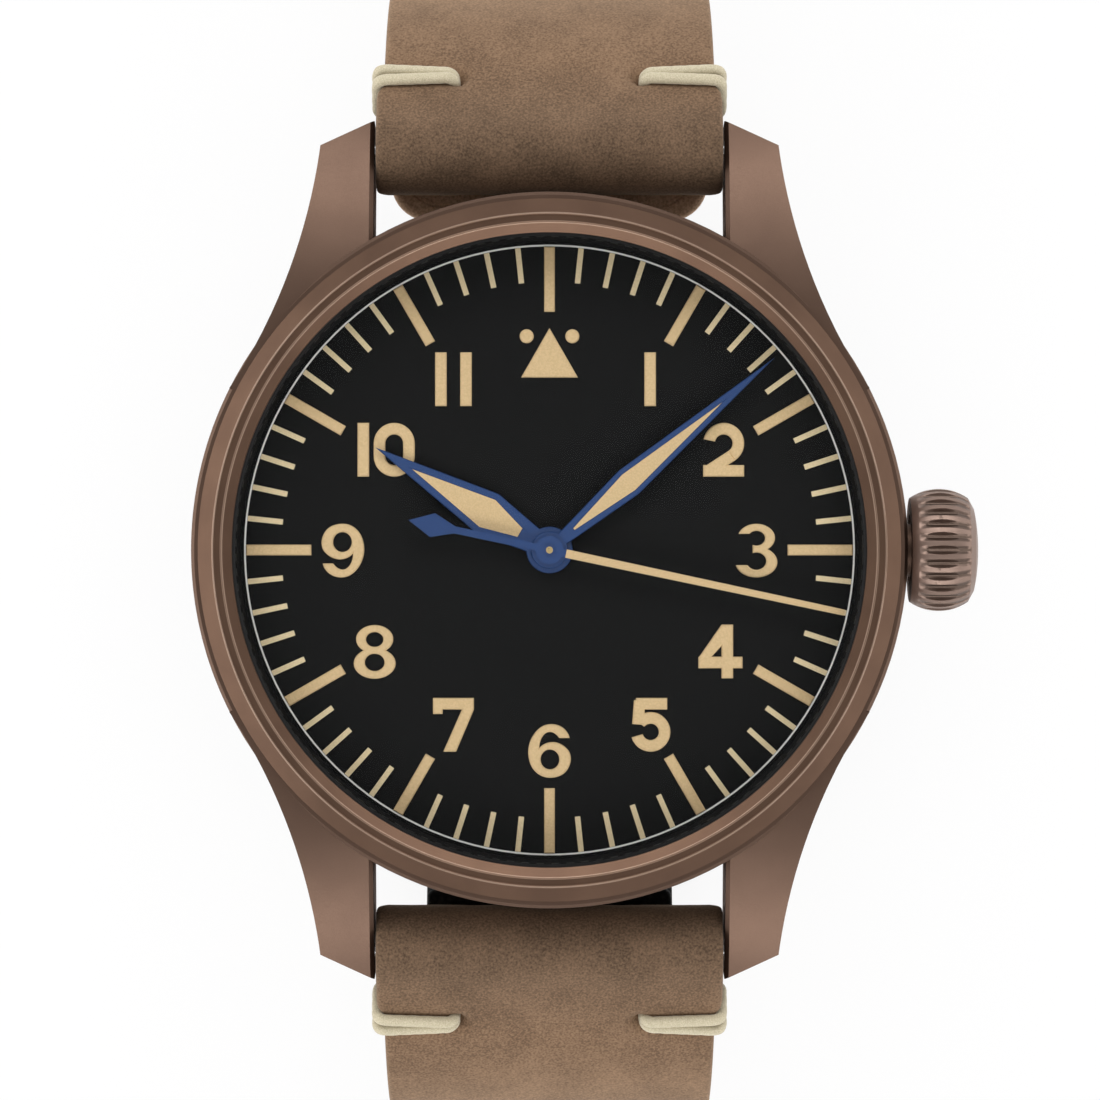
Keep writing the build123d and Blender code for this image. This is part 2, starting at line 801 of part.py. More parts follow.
tick_middle = (tick_outer_radius + tick_inner_radius) / 2
baton_middle = (tick_outer_radius + baton_inner_radius) / 2
with BuildPart() as minute_ticks:
    with BuildSketch(Plane.XY.offset(dial_level)):
        for minute in range(minutes):
            if minute % minutes_per_hour:
                with PolarLocations(tick_middle, 1, start_angle=360 * minute / minutes):
                    Rectangle(tick_outer_radius - tick_inner_radius, tick_width)
    extrude(amount=tick_height)
minute_ticks.part.label = "minute_ticks"
export_step(minute_ticks.part, "parts/minute_ticks.step")


def bevel_tops(body, level, size):
    """Bevel the edges of a piece's flat tops at a level."""
    tops = body.faces().filter_by(Plane.XY).filter_by_position(Axis.Z, level - size / 2, level + size / 2)
    chamfer(tops.edges(), size)


with BuildPart() as hour_batons:
    with BuildSketch(Plane.XY.offset(dial_level)):
        with PolarLocations(baton_middle, hours):
            Rectangle(tick_outer_radius - baton_inner_radius, baton_width)
    extrude(amount=lume_height)
    bevel_tops(hour_batons, dial_level + lume_height, lume_bevel)
hour_batons.part.label = "hour_batons"
export_step(hour_batons.part, "parts/hour_batons.step")

with BuildPart() as dial_triangle:
    with BuildSketch(Plane.XY.offset(dial_level)):
        Polygon(
            (0, triangle_apex_y),
            (-triangle_half_width, triangle_base_y),
            (triangle_half_width, triangle_base_y),
            align=None,
        )
        with Locations((dot_x, dot_y), (-dot_x, dot_y)):
            Circle(dot_radius)
    extrude(amount=lume_height)
    bevel_tops(dial_triangle, dial_level + lume_height, lume_bevel)
dial_triangle.part.label = "dial_triangle"
export_step(dial_triangle.part, "parts/dial_triangle.step")

# Numerals: centre lines of the strokes as shares of the numeral's height, about its centre.
# A stroke is a chain of lines (from, to) and arcs (centre, radius, start angle, turn).
bowl_share = 0.2735
drop_share = 0.1185
edge_share = 0.392
digit_stroke_shares = {
    "0": [
        [
            (0, drop_share, bowl_share, 0, 180),
            (-bowl_share, drop_share, -bowl_share, -drop_share),
            (0, -drop_share, bowl_share, 180, 180),
            (bowl_share, -drop_share, bowl_share, drop_share),
        ]
    ],
    "1": [[(0, -0.5, 0, 0.5)]],
    "2": [
        [(0, drop_share, bowl_share, 168, -225), (0.149, -0.111, -0.262, -0.378)],
        [(-0.381, -edge_share, 0.381, -edge_share)],
    ],
    "4": [[(0.128, -0.5, 0.128, 0.5)], [(-0.41, -0.205, 0.41, -0.205)]],
    "5": [
        [(-0.262, edge_share, 0.322, edge_share)],
        [(-0.19, 0.45, -0.225, 0.005)],
        [(0.013, -0.132, 0.26, 142, -306)],
    ],
    "7": [[(-0.381, edge_share, 0.381, edge_share)]],
}
digit_patch_shares = {
    "4": [[(0.02, 0.5), (0.236, 0.5), (0.236, 0.33), (-0.185, -0.12), (-0.41, -0.12)]],
    "7": [
        [(0.165, 0.3), (0.381, 0.3), (0.381, 0.284), (0.05, -0.5), (-0.19, -0.5)],
        [(-0.381, 0.392), (-0.2, 0.392), (-0.2, 0.2), (-0.381, 0.2)],
    ],
}
# Six: outer edge, inner edge of its hook, and its hole; nine is six turned half round
six_outer_shares = [
    (0.375, 0.239), (0.328, 0.351), (0.189, 0.467), (0.04, 0.4995), (-0.09, 0.479), (-0.211, 0.402),
    (-0.313, 0.276), (-0.379, 0.118), (-0.397, -0.021), (-0.379, -0.17), (-0.323, -0.31), (-0.23, -0.417),
    (-0.118, -0.48), (0.003, -0.5), (0.142, -0.482), (0.273, -0.417), (0.361, -0.3), (0.398, -0.161),
    (0.37, -0.021), (0.282, 0.081), (0.17, 0.144), (0.068, 0.165), (-0.053, 0.146), (-0.127, 0.109),
    (-0.188, 0.053),
]
six_hook_shares = [
    (-0.188, 0.053), (-0.183, 0.127), (-0.155, 0.22), (-0.1, 0.304), (0.003, 0.3526), (0.105, 0.318),
    (0.18, 0.239),
]
# Ovals of six, three and eight: centre, half width, half height; three is eight with its left side cut
six_hole_shares = (0.009, -0.159, 0.174, 0.184)
eight_outer_shares = [(0, 0.236, 0.346, 0.263), (0, -0.215, 0.39, 0.285)]
eight_hole_shares = [(0, 0.23, 0.161, 0.137), (0, -0.196, 0.182, 0.161)]
three_cut_shares = [(-0.5, 0.31), (-0.07, 0.31), (-0.07, -0.27), (-0.5, -0.27)]
numeral_place_shares = {
    "1": (0.501, 0.85),
    "2": (0.867, 0.499),
    "3": (1.03, -0.003),
    "4": (0.851, -0.505),
    "5": (0.5, -0.87),
    "6": (0.0, -1.0),
    "7": (-0.478, -0.87),
    "8": (-0.87, -0.507),
    "9": (-1.028, -0.003),
    "10": (-0.829, 0.499),
    "11": (-0.478, 0.85),
}
paired_digit_shift_shares = {"10": (-0.365, 0.21), "11": (-0.233, 0.233)}


def draw_oval(shares, centre, turn, mode=Mode.ADD):
    """Oval of a digit in the open sketch."""
    x, y, half_width, half_height = [share * numeral_height for share in shares]
    with Locations((centre[0] + turn * x, centre[1] + turn * y)):
        Ellipse(half_width, half_height, mode=mode)


def draw_six(centre, turn):
    """Six in the open sketch, or nine where turn is minus one."""
    outer = [(centre[0] + turn * x * numeral_height, centre[1] + turn * y * numeral_height)
             for x, y in six_outer_shares]
    hook = [(centre[0] + turn * x * numeral_height, centre[1] + turn * y * numeral_height)
            for x, y in six_hook_shares]
    with BuildLine() as edge_line:
        Spline(*outer)
        Spline(*hook)
        Line(hook[-1], outer[0])
    make_face(edge_line.edges())
    draw_oval(six_hole_shares, centre, turn, Mode.SUBTRACT)


def draw_digit(digit, centre):
    """One digit in the open sketch, centred on a point."""
    if digit in ("6", "9"):
        draw_six(centre, 1 if digit == "6" else -1)
    if digit in ("3", "8"):
        for shares in eight_outer_shares:
            draw_oval(shares, centre, 1)
        for shares in eight_hole_shares:
            draw_oval(shares, centre, 1, Mode.SUBTRACT)
    if digit == "3":
        Polygon(
            *[(centre[0] + x * numeral_height, centre[1] + y * numeral_height) for x, y in three_cut_shares],
            align=None,
            mode=Mode.SUBTRACT,
        )
    for shares in digit_stroke_shares.get(digit, []):
        with BuildLine() as stroke:
            for run in shares:
                start_point = (centre[0] + run[0] * numeral_height, centre[1] + run[1] * numeral_height)
                if len(run) == 4:
                    end_point = (centre[0] + run[2] * numeral_height, centre[1] + run[3] * numeral_height)
                    Line(start_point, end_point)
                else:
                    CenterArc(start_point, run[2] * numeral_height, run[3], run[4])
        trace(stroke.edges(), line_width=numeral_stroke)
    for corners in digit_patch_shares.get(digit, []):
        Polygon(
            *[(centre[0] + x * numeral_height, centre[1] + y * numeral_height) for x, y in corners],
            align=None,
        )


with BuildPart() as dial_numerals:
    with BuildSketch(Plane.XY.offset(dial_level)):
        for numeral, (x_share, y_share) in numeral_place_shares.items():
            shifts = paired_digit_shift_shares.get(numeral, (0,))
            for digit, shift in zip(numeral, shifts):
                draw_digit(
                    digit,
                    (x_share * numeral_circle + shift * numeral_height, y_share * numeral_circle),
                )
    extrude(amount=lume_height)
    bevel_tops(dial_numerals, dial_level + lume_height, lume_bevel)
dial_numerals.part.label = "dial_numerals"
export_step(dial_numerals.part, "parts/dial_numerals.step")

# Hands, drawn towards twelve and turned to ten past ten
cannon_bore = seconds_arbor_radius + centre_bore_clearance
hour_pipe_bore = cannon_radius + motion_clearance
hour_pipe_radius = hour_pipe_bore + hour_pipe_wall


def leaf_hand(level, angle, hub, neck, belly, belly_at, length, window, bore):
    """Leaf-shaped hand with a window for its filling, in the open part."""
    window_start, window_start_half, window_belly, window_end = window
    with BuildSketch(Plane.XY.offset(level).rotated((0, 0, clock(angle)))) as outline:
        Polygon((-neck, 0), (-belly, belly_at), (0, length), (belly, belly_at), (neck, 0), align=None)
        Circle(hub)
        Polygon(*window_points(window, belly_at), align=None, mode=Mode.SUBTRACT)
        Circle(bore, mode=Mode.SUBTRACT)
    extrude(outline.sketch, amount=hand_thickness)


def window_points(window, belly_at):
    """Corners of a hand's window."""
    window_start, window_start_half, window_belly, window_end = window
    return [
        (-window_start_half, window_start),
        (-window_belly, belly_at),
        (0, window_end),
        (window_belly, belly_at),
        (window_start_half, window_start),
    ]


hour_window = (hour_lume_start, hour_lume_start_half, hour_lume_belly_half, hour_lume_end)
minute_window = (minute_lume_start, minute_lume_start_half, minute_lume_belly_half, minute_lume_end)

with BuildPart() as hour_hand:
    leaf_hand(
        hour_hand_level,
        hour_hand_angle,
        hour_hand_hub_radius,
        hour_hand_neck_half,
        hour_hand_belly_half,
        hour_hand_belly_at,
        hour_hand_length,
        hour_window,
        hour_pipe_radius,
    )
    bevel_tops(hour_hand, hour_hand_level + hand_thickness, hand_edge_chamfer)
hour_hand.part.label = "hour_hand"
export_step(hour_hand.part, "parts/hour_hand.step")

with BuildPart() as hour_hand_lume:
    with BuildSketch(Plane.XY.offset(hour_hand_level).rotated((0, 0, clock(hour_hand_angle)))):
        Polygon(*window_points(hour_window, hour_hand_belly_at), align=None)
    extrude(amount=hand_thickness - hand_edge_chamfer)
hour_hand_lume.part.label = "hour_hand_lume"
export_step(hour_hand_lume.part, "parts/hour_hand_lume.step")

with BuildPart() as minute_hand:
    leaf_hand(
        minute_hand_level,
        minute_hand_angle,
        minute_hand_hub_radius,
        minute_hand_neck_half,
        minute_hand_belly_half,
        minute_hand_belly_at,
        minute_hand_length,
        minute_window,
        cannon_radius,
    )
    bevel_tops(minute_hand, minute_hand_level + hand_thickness, hand_edge_chamfer)
minute_hand.part.label = "minute_hand"
export_step(minute_hand.part, "parts/minute_hand.step")

with BuildPart() as minute_hand_lume:
    with BuildSketch(Plane.XY.offset(minute_hand_level).rotated((0, 0, clock(minute_hand_angle)))):
        Polygon(*window_points(minute_window, minute_hand_belly_at), align=None)
    extrude(amount=hand_thickness - hand_edge_chamfer)
minute_hand_lume.part.label = "minute_hand_lume"
export_step(minute_hand_lume.part, "parts/minute_hand_lume.step")

second_plane = Plane.XY.offset(second_hand_level).rotated((0, 0, clock(second_hand_angle)))
with BuildPart() as second_hand:
    with BuildSketch(second_plane):
        Polygon(
            (-second_hand_root_half, 0),
            (-second_hand_tip_half, second_hand_length),
            (second_hand_tip_half, second_hand_length),
            (second_hand_root_half, 0),
            align=None,
        )
        Polygon(
            (second_tail_half, 0),
            (second_tail_half, -second_tail_neck),
            (second_tail_belly_half, -second_tail_belly_at),
            (0, -second_tail_length),
            (-second_tail_belly_half, -second_tail_belly_at),
            (-second_tail_half, -second_tail_neck),
            (-second_tail_half, 0),
            align=None,
        )
        Circle(second_hand_hub_radius)
        Circle(seconds_arbor_radius, mode=Mode.SUBTRACT)
    extrude(amount=hand_thickness)
    with BuildSketch(second_plane.offset(hand_thickness)):
        Circle(second_cap_radius)
        Circle(seconds_arbor_radius, mode=Mode.SUBTRACT)
    extrude(amount=second_cap_height)
second_hand.part.label = "second_hand"
export_step(second_hand.part, "parts/second_hand.step")

with BuildPart() as second_hand_lume:
    with BuildSketch(second_plane.offset(hand_thickness)):
        Polygon(
            (-second_hand_root_half, second_lume_start),
            (-second_hand_tip_half, second_hand_length),
            (second_hand_tip_half, second_hand_length),
            (second_hand_root_half, second_lume_start),
            align=None,
        )
    extrude(amount=second_lume_height)
second_hand_lume.part.label = "second_hand_lume"
export_step(second_hand_lume.part, "parts/second_hand_lume.step")

# Places of the train's arbors, each at its meshing distance from the one before
pinion_modules = {"third": intermediate_module, "seconds": third_module, "escape": seconds_module}
third_place = along(third_direction, (third_teeth + train_pinion_teeth) * third_module / 2 + mesh_play)
intermediate_place = along(
    intermediate_direction,
    (intermediate_teeth + train_pinion_teeth) * intermediate_module / 2 + mesh_play,
    third_place,
)
barrel_place = along(
    barrel_direction,
    (barrel_teeth + train_pinion_teeth) * barrel_module / 2 + mesh_play,
    intermediate_place,
)
escape_place = along(
    escape_direction,
    (seconds_teeth + escape_pinion_teeth) * seconds_module / 2 + mesh_play,
)
fork_place = along(fork_direction, fork_distance, escape_place)
balance_place = along(fork_direction, balance_distance, fork_place)
jewelled_places = [third_place, intermediate_place, escape_place, fork_place, balance_place]
bridge_jewels = [third_place, intermediate_place, escape_place, fork_place, Vector(0, 0)]
pillar_places = [
    along(145, movement_radius - 1.6 * pillar_radius),
    along(24, movement_radius - 1.6 * pillar_radius),
    along(322, movement_radius - 1.6 * pillar_radius),
    along(186, movement_radius - 2.2 * pillar_radius),
]
cock_foot_place = along(205.6, movement_radius - 1.8 * cock_foot_radius)


def flat_discs(level, height, places, radius, mode=Mode.ADD):
    """Upright cylinders at several places, added to the open part."""
    with BuildSketch(Plane.XY.offset(level)) as outline:
        with Locations(*[(place.X, place.Y) for place in places]):
            Circle(radius)
    extrude(outline.sketch, amount=height, mode=mode)


def stem_channel(start_x, radius):
    """Clear way for the stem, cut from the open part."""
    stem_disc(start_x, case_diameter, radius, Mode.SUBTRACT)


plate_jewel_top = plate_bottom_level + jewel_thickness
bridge_jewel_bottom = bridge_top_level - jewel_thickness
jewel_hole_radius = pivot_radius + pivot_clearance
barrel_bore_radius = barrel_pivot_radius + pivot_clearance
minute_wheel_x = (cannon_teeth + minute_wheel_teeth) * cannon_module / 2
minute_post_bore = minute_wheel_post_radius + pivot_clearance

with BuildPart() as main_plate:
    flat_discs(plate_bottom_level, plate_top_level - plate_bottom_level, [Vector(0, 0)], movement_radius)
    flat_discs(plate_bottom_level, jewel_thickness, jewelled_places, jewel_radius, Mode.SUBTRACT)
    flat_discs(plate_bottom_level, plate_top_level, [Vector(0, 0)], cannon_bore, Mode.SUBTRACT)
    flat_discs(plate_bottom_level, jewel_thickness, [barrel_place], barrel_bore_radius, Mode.SUBTRACT)
    flat_discs(
        plate_top_level - minute_wheel_post_depth,
        minute_wheel_post_depth,
        [Vector(minute_wheel_x, 0)],
        minute_post_bore,
        Mode.SUBTRACT,
    )
    stem_channel(stem_inner_end - crown_pull, stem_radius + stem_channel_clearance)
main_plate.part.label = "main_plate"
export_step(main_plate.part, "parts/main_plate.step")

screw_places = pillar_places + [cock_foot_place]
screw_level = bridge_bottom_level
with BuildPart() as train_bridge:
    flat_discs(bridge_bottom_level, bridge_thickness, [Vector(0, 0)], movement_radius - bridge_edge_gap)
    flat_discs(bridge_bottom_level, bridge_thickness, [balance_place], balance_window_radius, Mode.SUBTRACT)
    with BuildSketch(Plane.XY.offset(bridge_bottom_level)):
        with Locations((balance_place.X, balance_place.Y)):
            Circle(cock_head_radius + cock_gap)
        with Locations((cock_foot_place.X, cock_foot_place.Y)):
            Circle(cock_foot_radius + cock_gap)
        make_hull()
    extrude(amount=bridge_thickness, mode=Mode.SUBTRACT)
    flat_discs(bridge_top_level, plate_bottom_level - bridge_top_level, pillar_places, pillar_radius)
    flat_discs(bridge_jewel_bottom, jewel_thickness, bridge_jewels, jewel_radius, Mode.SUBTRACT)
    flat_discs(bridge_jewel_bottom, jewel_thickness, [barrel_place], barrel_bore_radius, Mode.SUBTRACT)
    flat_discs(screw_level, screw_head_height, pillar_places, screw_head_radius, Mode.SUBTRACT)
    flat_discs(screw_level, screw_length, pillar_places, screw_shank_radius, Mode.SUBTRACT)
train_bridge.part.label = "train_bridge"
export_step(train_bridge.part, "parts/train_bridge.step")

with BuildPart() as balance_cock:
    with BuildSketch(Plane.XY.offset(bridge_bottom_level)):
        with Locations((balance_place.X, balance_place.Y)):
            Circle(cock_head_radius)
        with Locations((cock_foot_place.X, cock_foot_place.Y)):
            Circle(cock_foot_radius)
        make_hull()
    extrude(amount=bridge_thickness)
    flat_discs(bridge_top_level, plate_bottom_level - bridge_top_level, [cock_foot_place], cock_foot_radius)
    flat_discs(bridge_jewel_bottom, jewel_thickness, [balance_place], jewel_radius, Mode.SUBTRACT)
    flat_discs(screw_level, screw_head_height, [cock_foot_place], screw_head_radius, Mode.SUBTRACT)
    flat_discs(screw_level, screw_length, [cock_foot_place], screw_shank_radius, Mode.SUBTRACT)
balance_cock.part.label = "balance_cock"
export_step(balance_cock.part, "parts/balance_cock.step")

with BuildPart() as movement_screws:
    flat_discs(screw_level, screw_head_height, screw_places, screw_head_radius)
    flat_discs(screw_level, screw_length, screw_places, screw_shank_radius)
    with BuildSketch(Plane.XY.offset(screw_level)):
        with Locations(*[(place.X, place.Y) for place in screw_places]):
            Rectangle(2 * screw_head_radius, screw_slot_width)
    extrude(amount=screw_slot_depth, mode=Mode.SUBTRACT)
movement_screws.part.label = "movement_screws"
export_step(movement_screws.part, "parts/movement_screws.step")

with BuildPart() as jewels:
    flat_discs(plate_bottom_level, jewel_thickness, jewelled_places, jewel_radius)
    flat_discs(bridge_jewel_bottom, jewel_thickness, bridge_jewels + [balance_place], jewel_radius)
    flat_discs(plate_bottom_level, jewel_thickness, jewelled_places, jewel_hole_radius, Mode.SUBTRACT)
    flat_discs(
        bridge_jewel_bottom, jewel_thickness, bridge_jewels + [balance_place], jewel_hole_radius, Mode.SUBTRACT
    )
jewels.part.label = "jewels"
export_step(jewels.part, "parts/jewels.step")

ring_bore = movement_radius + movement_ring_clearance
ring_radius = movement_bay_diameter / 2 - movement_ring_clearance
with BuildPart() as movement_ring:
    with BuildSketch(Plane.XZ):
        Polygon(
            (ring_bore, bay_floor_level),
            (ring_radius, bay_floor_level),
            (ring_radius, dial_ledge_level),
            (ring_bore - movement_ring_lip, dial_ledge_level),
            (ring_bore - movement_ring_lip, plate_top_level),
            (ring_bore, plate_top_level),
            align=None,
        )
    revolve(axis=Axis.Z)
    stem_channel(ring_bore - overrun, stem_radius + stem_hole_clearance)
movement_ring.part.label = "movement_ring"
export_step(movement_ring.part, "parts/movement_ring.step")

# Wheels of the train, each with its pinion and its pivots
pivot_bottom = bridge_top_level - pivot_length
pivot_top = plate_bottom_level + pivot_length


def spoked_wheel(place, level, teeth, module):
    """Toothed wheel with crossings, added to the open part."""
    root = teeth * module / 2 - tooth_height_share * module / 2
    with BuildSketch(Plane.XY.offset(level)) as outline:
        draw_gear(teeth, module, (place.X, place.Y))
        with Locations((place.X, place.Y)):
            Circle(root - wheel_rim_width, mode=Mode.SUBTRACT)
            Circle(wheel_hub_radius)
            for spoke in range(wheel_spokes // 2):
                Rectangle(
                    2 * root - wheel_rim_width,
                    wheel_spoke_width,
                    rotation=360 / wheel_spokes * spoke,
                )
    extrude(outline.sketch, amount=wheel_thickness)


def pinion(place, level, top, teeth, module):
    """Toothed pinion, added to the open part."""
    with BuildSketch(Plane.XY.offset(level)) as outline:
        draw_gear(teeth, module, (place.X, place.Y), 180 / teeth)
    extrude(outline.sketch, amount=top - level)


def arbor(place):
    """Arbor between the plates with a pivot at each end, added to the open part."""
    flat_discs(bridge_top_level + pivot_clearance, plate_bottom_level - bridge_top_level - 2 * pivot_clearance,
               [place], arbor_radius)
    flat_discs(pivot_bottom, pivot_top - pivot_bottom, [place], pivot_radius)


rim_level = plate_bottom_level - pivot_clearance - barrel_rim_height
with BuildPart() as mainspring_barrel:
    flat_discs(barrel_drum_bottom, barrel_drum_height, [barrel_place], barrel_drum_radius)
    with BuildSketch(Plane.XY.offset(rim_level)):
        draw_gear(barrel_teeth, barrel_module, (barrel_place.X, barrel_place.Y))
    extrude(amount=barrel_rim_height)
    flat_discs(pivot_bottom, pivot_top - pivot_bottom, [barrel_place], barrel_pivot_radius)
mainspring_barrel.part.label = "mainspring_barrel"
export_step(mainspring_barrel.part, "parts/mainspring_barrel.step")

with BuildPart() as intermediate_wheel:
    spoked_wheel(intermediate_place, intermediate_level, intermediate_teeth, intermediate_module)
    pinion(
        intermediate_place,
        intermediate_level + wheel_thickness,
        plate_bottom_level - pivot_clearance,
        train_pinion_teeth,
        barrel_module,
    )
    arbor(intermediate_place)
intermediate_wheel.part.label = "intermediate_wheel"
export_step(intermediate_wheel.part, "parts/intermediate_wheel.step")

with BuildPart() as third_wheel:
    spoked_wheel(third_place, third_level, third_teeth, third_module)
    pinion(
        third_place,
        bridge_top_level + pivot_clearance,
        third_level,
        train_pinion_teeth,
        intermediate_module,
    )
    arbor(third_place)
third_wheel.part.label = "third_wheel"
export_step(third_wheel.part, "parts/third_wheel.step")

seconds_top = second_hand_level + hand_thickness + second_cap_height
with BuildPart() as seconds_wheel:
    spoked_wheel(Vector(0, 0), seconds_level, seconds_teeth, seconds_module)
    pinion(
        Vector(0, 0),
        seconds_level + wheel_thickness,
        plate_bottom_level - pivot_clearance,
        train_pinion_teeth,
        third_module,
    )
    flat_discs(bridge_top_level + pivot_clearance, seconds_top - bridge_top_level - pivot_clearance,
               [Vector(0, 0)], seconds_arbor_radius)
    flat_discs(pivot_bottom, pivot_length + pivot_clearance, [Vector(0, 0)], pivot_radius)
seconds_wheel.part.label = "seconds_wheel"
export_step(seconds_wheel.part, "parts/seconds_wheel.step")

with BuildPart() as escape_wheel:
    with BuildSketch(Plane.XY.offset(escape_level)):
        with BuildLine():
            Polyline(
                *[
                    along(360 * (tooth + step) / escape_teeth, escape_radius - depth, escape_place)
                    for tooth in range(escape_teeth)
                    for step, depth in ((0.0, 0.0), (0.3, escape_tooth_depth), (0.8, escape_tooth_depth))
                ],
                close=True,
            )
        make_face()
        with Locations((escape_place.X, escape_place.Y)):
            Circle(escape_radius - escape_tooth_depth - wheel_rim_width, mode=Mode.SUBTRACT)
            Circle(wheel_hub_radius)
            Rectangle(2 * escape_radius - 2 * escape_tooth_depth - wheel_rim_width, wheel_spoke_width)
            Rectangle(wheel_spoke_width, 2 * escape_radius - 2 * escape_tooth_depth - wheel_rim_width)
    extrude(amount=wheel_thickness)
    pinion(
        escape_place,
        seconds_level - pivot_clearance,
        escape_level,
        escape_pinion_teeth,
        seconds_module,
    )
    arbor(escape_place)
escape_wheel.part.label = "escape_wheel"
export_step(escape_wheel.part, "parts/escape_wheel.step")

# Pallet fork: cross bar with two pallets towards the escape wheel, tail towards the balance
fork_plane = Plane(
    origin=(fork_place.X, fork_place.Y, escape_level),
    x_dir=(math.cos(math.radians(fork_direction)), math.sin(math.radians(fork_direction)), 0),
    z_dir=(0, 0, 1),
)
with BuildPart() as pallet_fork:
    with BuildSketch(fork_plane):
        Rectangle(fork_bar_width, fork_bar_length)
        Rectangle(fork_tail_length, fork_tail_width, align=(Align.MIN, Align.CENTER))
        with Locations(
            (-fork_bar_width / 2, (fork_bar_length - fork_pallet_width) / 2),
            (-fork_bar_width / 2, -(fork_bar_length - fork_pallet_width) / 2),
        ):
            Rectangle(fork_pallet_length, fork_pallet_width, align=(Align.MAX, Align.CENTER))
    extrude(amount=wheel_thickness)
    arbor(fork_place)
pallet_fork.part.label = "pallet_fork"
export_step(pallet_fork.part, "parts/pallet_fork.step")

with BuildPart() as balance_wheel:
    with BuildSketch(Plane.XY.offset(balance_level)):
        with Locations((balance_place.X, balance_place.Y)):
            Circle(balance_radius)
            Circle(balance_radius - balance_rim_width, mode=Mode.SUBTRACT)
            Circle(wheel_hub_radius)
            Rectangle(2 * balance_radius - balance_rim_width, balance_spoke_width)
    extrude(amount=balance_thickness)
    flat_discs(escape_level, wheel_thickness, [balance_place], roller_radius)
    arbor(balance_place)
balance_wheel.part.label = "balance_wheel"
export_step(balance_wheel.part, "parts/balance_wheel.step")

with BuildPart() as hairspring:
    with BuildSketch(Plane.XY.offset(hairspring_level)):
        with BuildLine():
            for half in range(2 * hairspring_turns):
                radius = hairspring_inner_radius + hairspring_pitch * half / 2
                shift = hairspring_pitch / 2 if half % 2 else 0.0
                CenterArc(
                    (balance_place.X + shift, balance_place.Y),
                    radius,
                    180 * (half % 2),
                    180,
                )
        trace(line_width=hairspring_strip)
    extrude(amount=hairspring_height)
hairspring.part.label = "hairspring"
export_step(hairspring.part, "parts/hairspring.step")

# Motion work between the plate and the dial
cannon_top = minute_hand_level + hand_thickness
hour_pipe_top = hour_hand_level + hand_thickness
motion_pinion_module = 2 * minute_wheel_x / (minute_pinion_teeth + hour_wheel_teeth)
with BuildPart() as cannon_pinion:
    with BuildSketch(Plane.XY.offset(motion_lower_level)):
        draw_gear(cannon_teeth, cannon_module)
    extrude(amount=motion_thickness)
    flat_discs(motion_lower_level, cannon_top - motion_lower_level, [Vector(0, 0)], cannon_radius)
    flat_discs(motion_lower_level, cannon_top - motion_lower_level, [Vector(0, 0)], cannon_bore, Mode.SUBTRACT)
cannon_pinion.part.label = "cannon_pinion"
export_step(cannon_pinion.part, "parts/cannon_pinion.step")

with BuildPart() as hour_wheel:
    with BuildSketch(Plane.XY.offset(motion_upper_level)):
        draw_gear(hour_wheel_teeth, motion_pinion_module, start_angle=180 / hour_wheel_teeth)
    extrude(amount=motion_thickness)
    flat_discs(motion_upper_level, hour_pipe_top - motion_upper_level, [Vector(0, 0)], hour_pipe_radius)
    flat_discs(motion_upper_level, hour_pipe_top - motion_upper_level, [Vector(0, 0)], hour_pipe_bore,
               Mode.SUBTRACT)
hour_wheel.part.label = "hour_wheel"
export_step(hour_wheel.part, "parts/hour_wheel.step")

minute_place = Vector(minute_wheel_x, 0)
with BuildPart() as minute_wheel:
    with BuildSketch(Plane.XY.offset(motion_lower_level)):
        draw_gear(minute_wheel_teeth, cannon_module, (minute_wheel_x, 0), 180 / minute_wheel_teeth)
    extrude(amount=motion_thickness)
    with BuildSketch(Plane.XY.offset(motion_lower_level + motion_thickness)):
        draw_gear(minute_pinion_teeth, motion_pinion_module, (minute_wheel_x, 0))
    extrude(amount=motion_upper_level - motion_lower_level)
    post_bottom = plate_top_level - minute_wheel_post_depth + pivot_clearance
    flat_discs(post_bottom, motion_lower_level - post_bottom, [minute_place], minute_wheel_post_radius)
minute_wheel.part.label = "minute_wheel"
export_step(minute_wheel.part, "parts/minute_wheel.step")

# Rotor on its bearing, behind the bridge
rotor_bore = bearing_radius + centre_bore_clearance
with BuildPart() as rotor:
    with BuildSketch(Plane.XY.offset(rotor_bottom_level)):
        Circle(rotor_radius)
        Rectangle(2 * case_radius, case_radius, align=(Align.CENTER, Align.MIN), mode=Mode.SUBTRACT)
        Circle(rotor_hub_radius)
        Circle(rotor_bore, mode=Mode.SUBTRACT)
    extrude(amount=rotor_web_thickness)
    with BuildSketch(Plane.XY.offset(rotor_bottom_level)):
        Circle(rotor_radius)
        Circle(rotor_radius - rotor_rim_width, mode=Mode.SUBTRACT)
        Rectangle(2 * case_radius, case_radius, align=(Align.CENTER, Align.MIN), mode=Mode.SUBTRACT)
    extrude(amount=rotor_rim_thickness)
rotor.part.label = "rotor"
export_step(rotor.part, "parts/rotor.step")

with BuildPart() as rotor_bearing:
    with BuildSketch(Plane.XY.offset(bearing_bottom_level)):
        Circle(bearing_radius)
        Circle(bearing_bore_radius, mode=Mode.SUBTRACT)
    extrude(amount=bridge_bottom_level - bearing_bottom_level)
rotor_bearing.part.label = "rotor_bearing"
export_step(rotor_bearing.part, "parts/rotor_bearing.step")

# Spring bars: a tube with a sprung tip at each end
tip_inner_x = bar_half_length - bar_lip_length - bar_tip_collar_length - bar_slide_clearance
tip_inner_end = bar_half_length - bar_tip_inner_length


def bar_disc(y, start_x, length, radius, mode=Mode.ADD):
    """Cylinder on a spring bar's axis, added to the open part."""
    with BuildSketch(Plane.YZ.offset(start_x)) as outline:
        with Locations((y, bar_level)):
            Circle(radius)
    extrude(outline.sketch, amount=length, mode=mode)


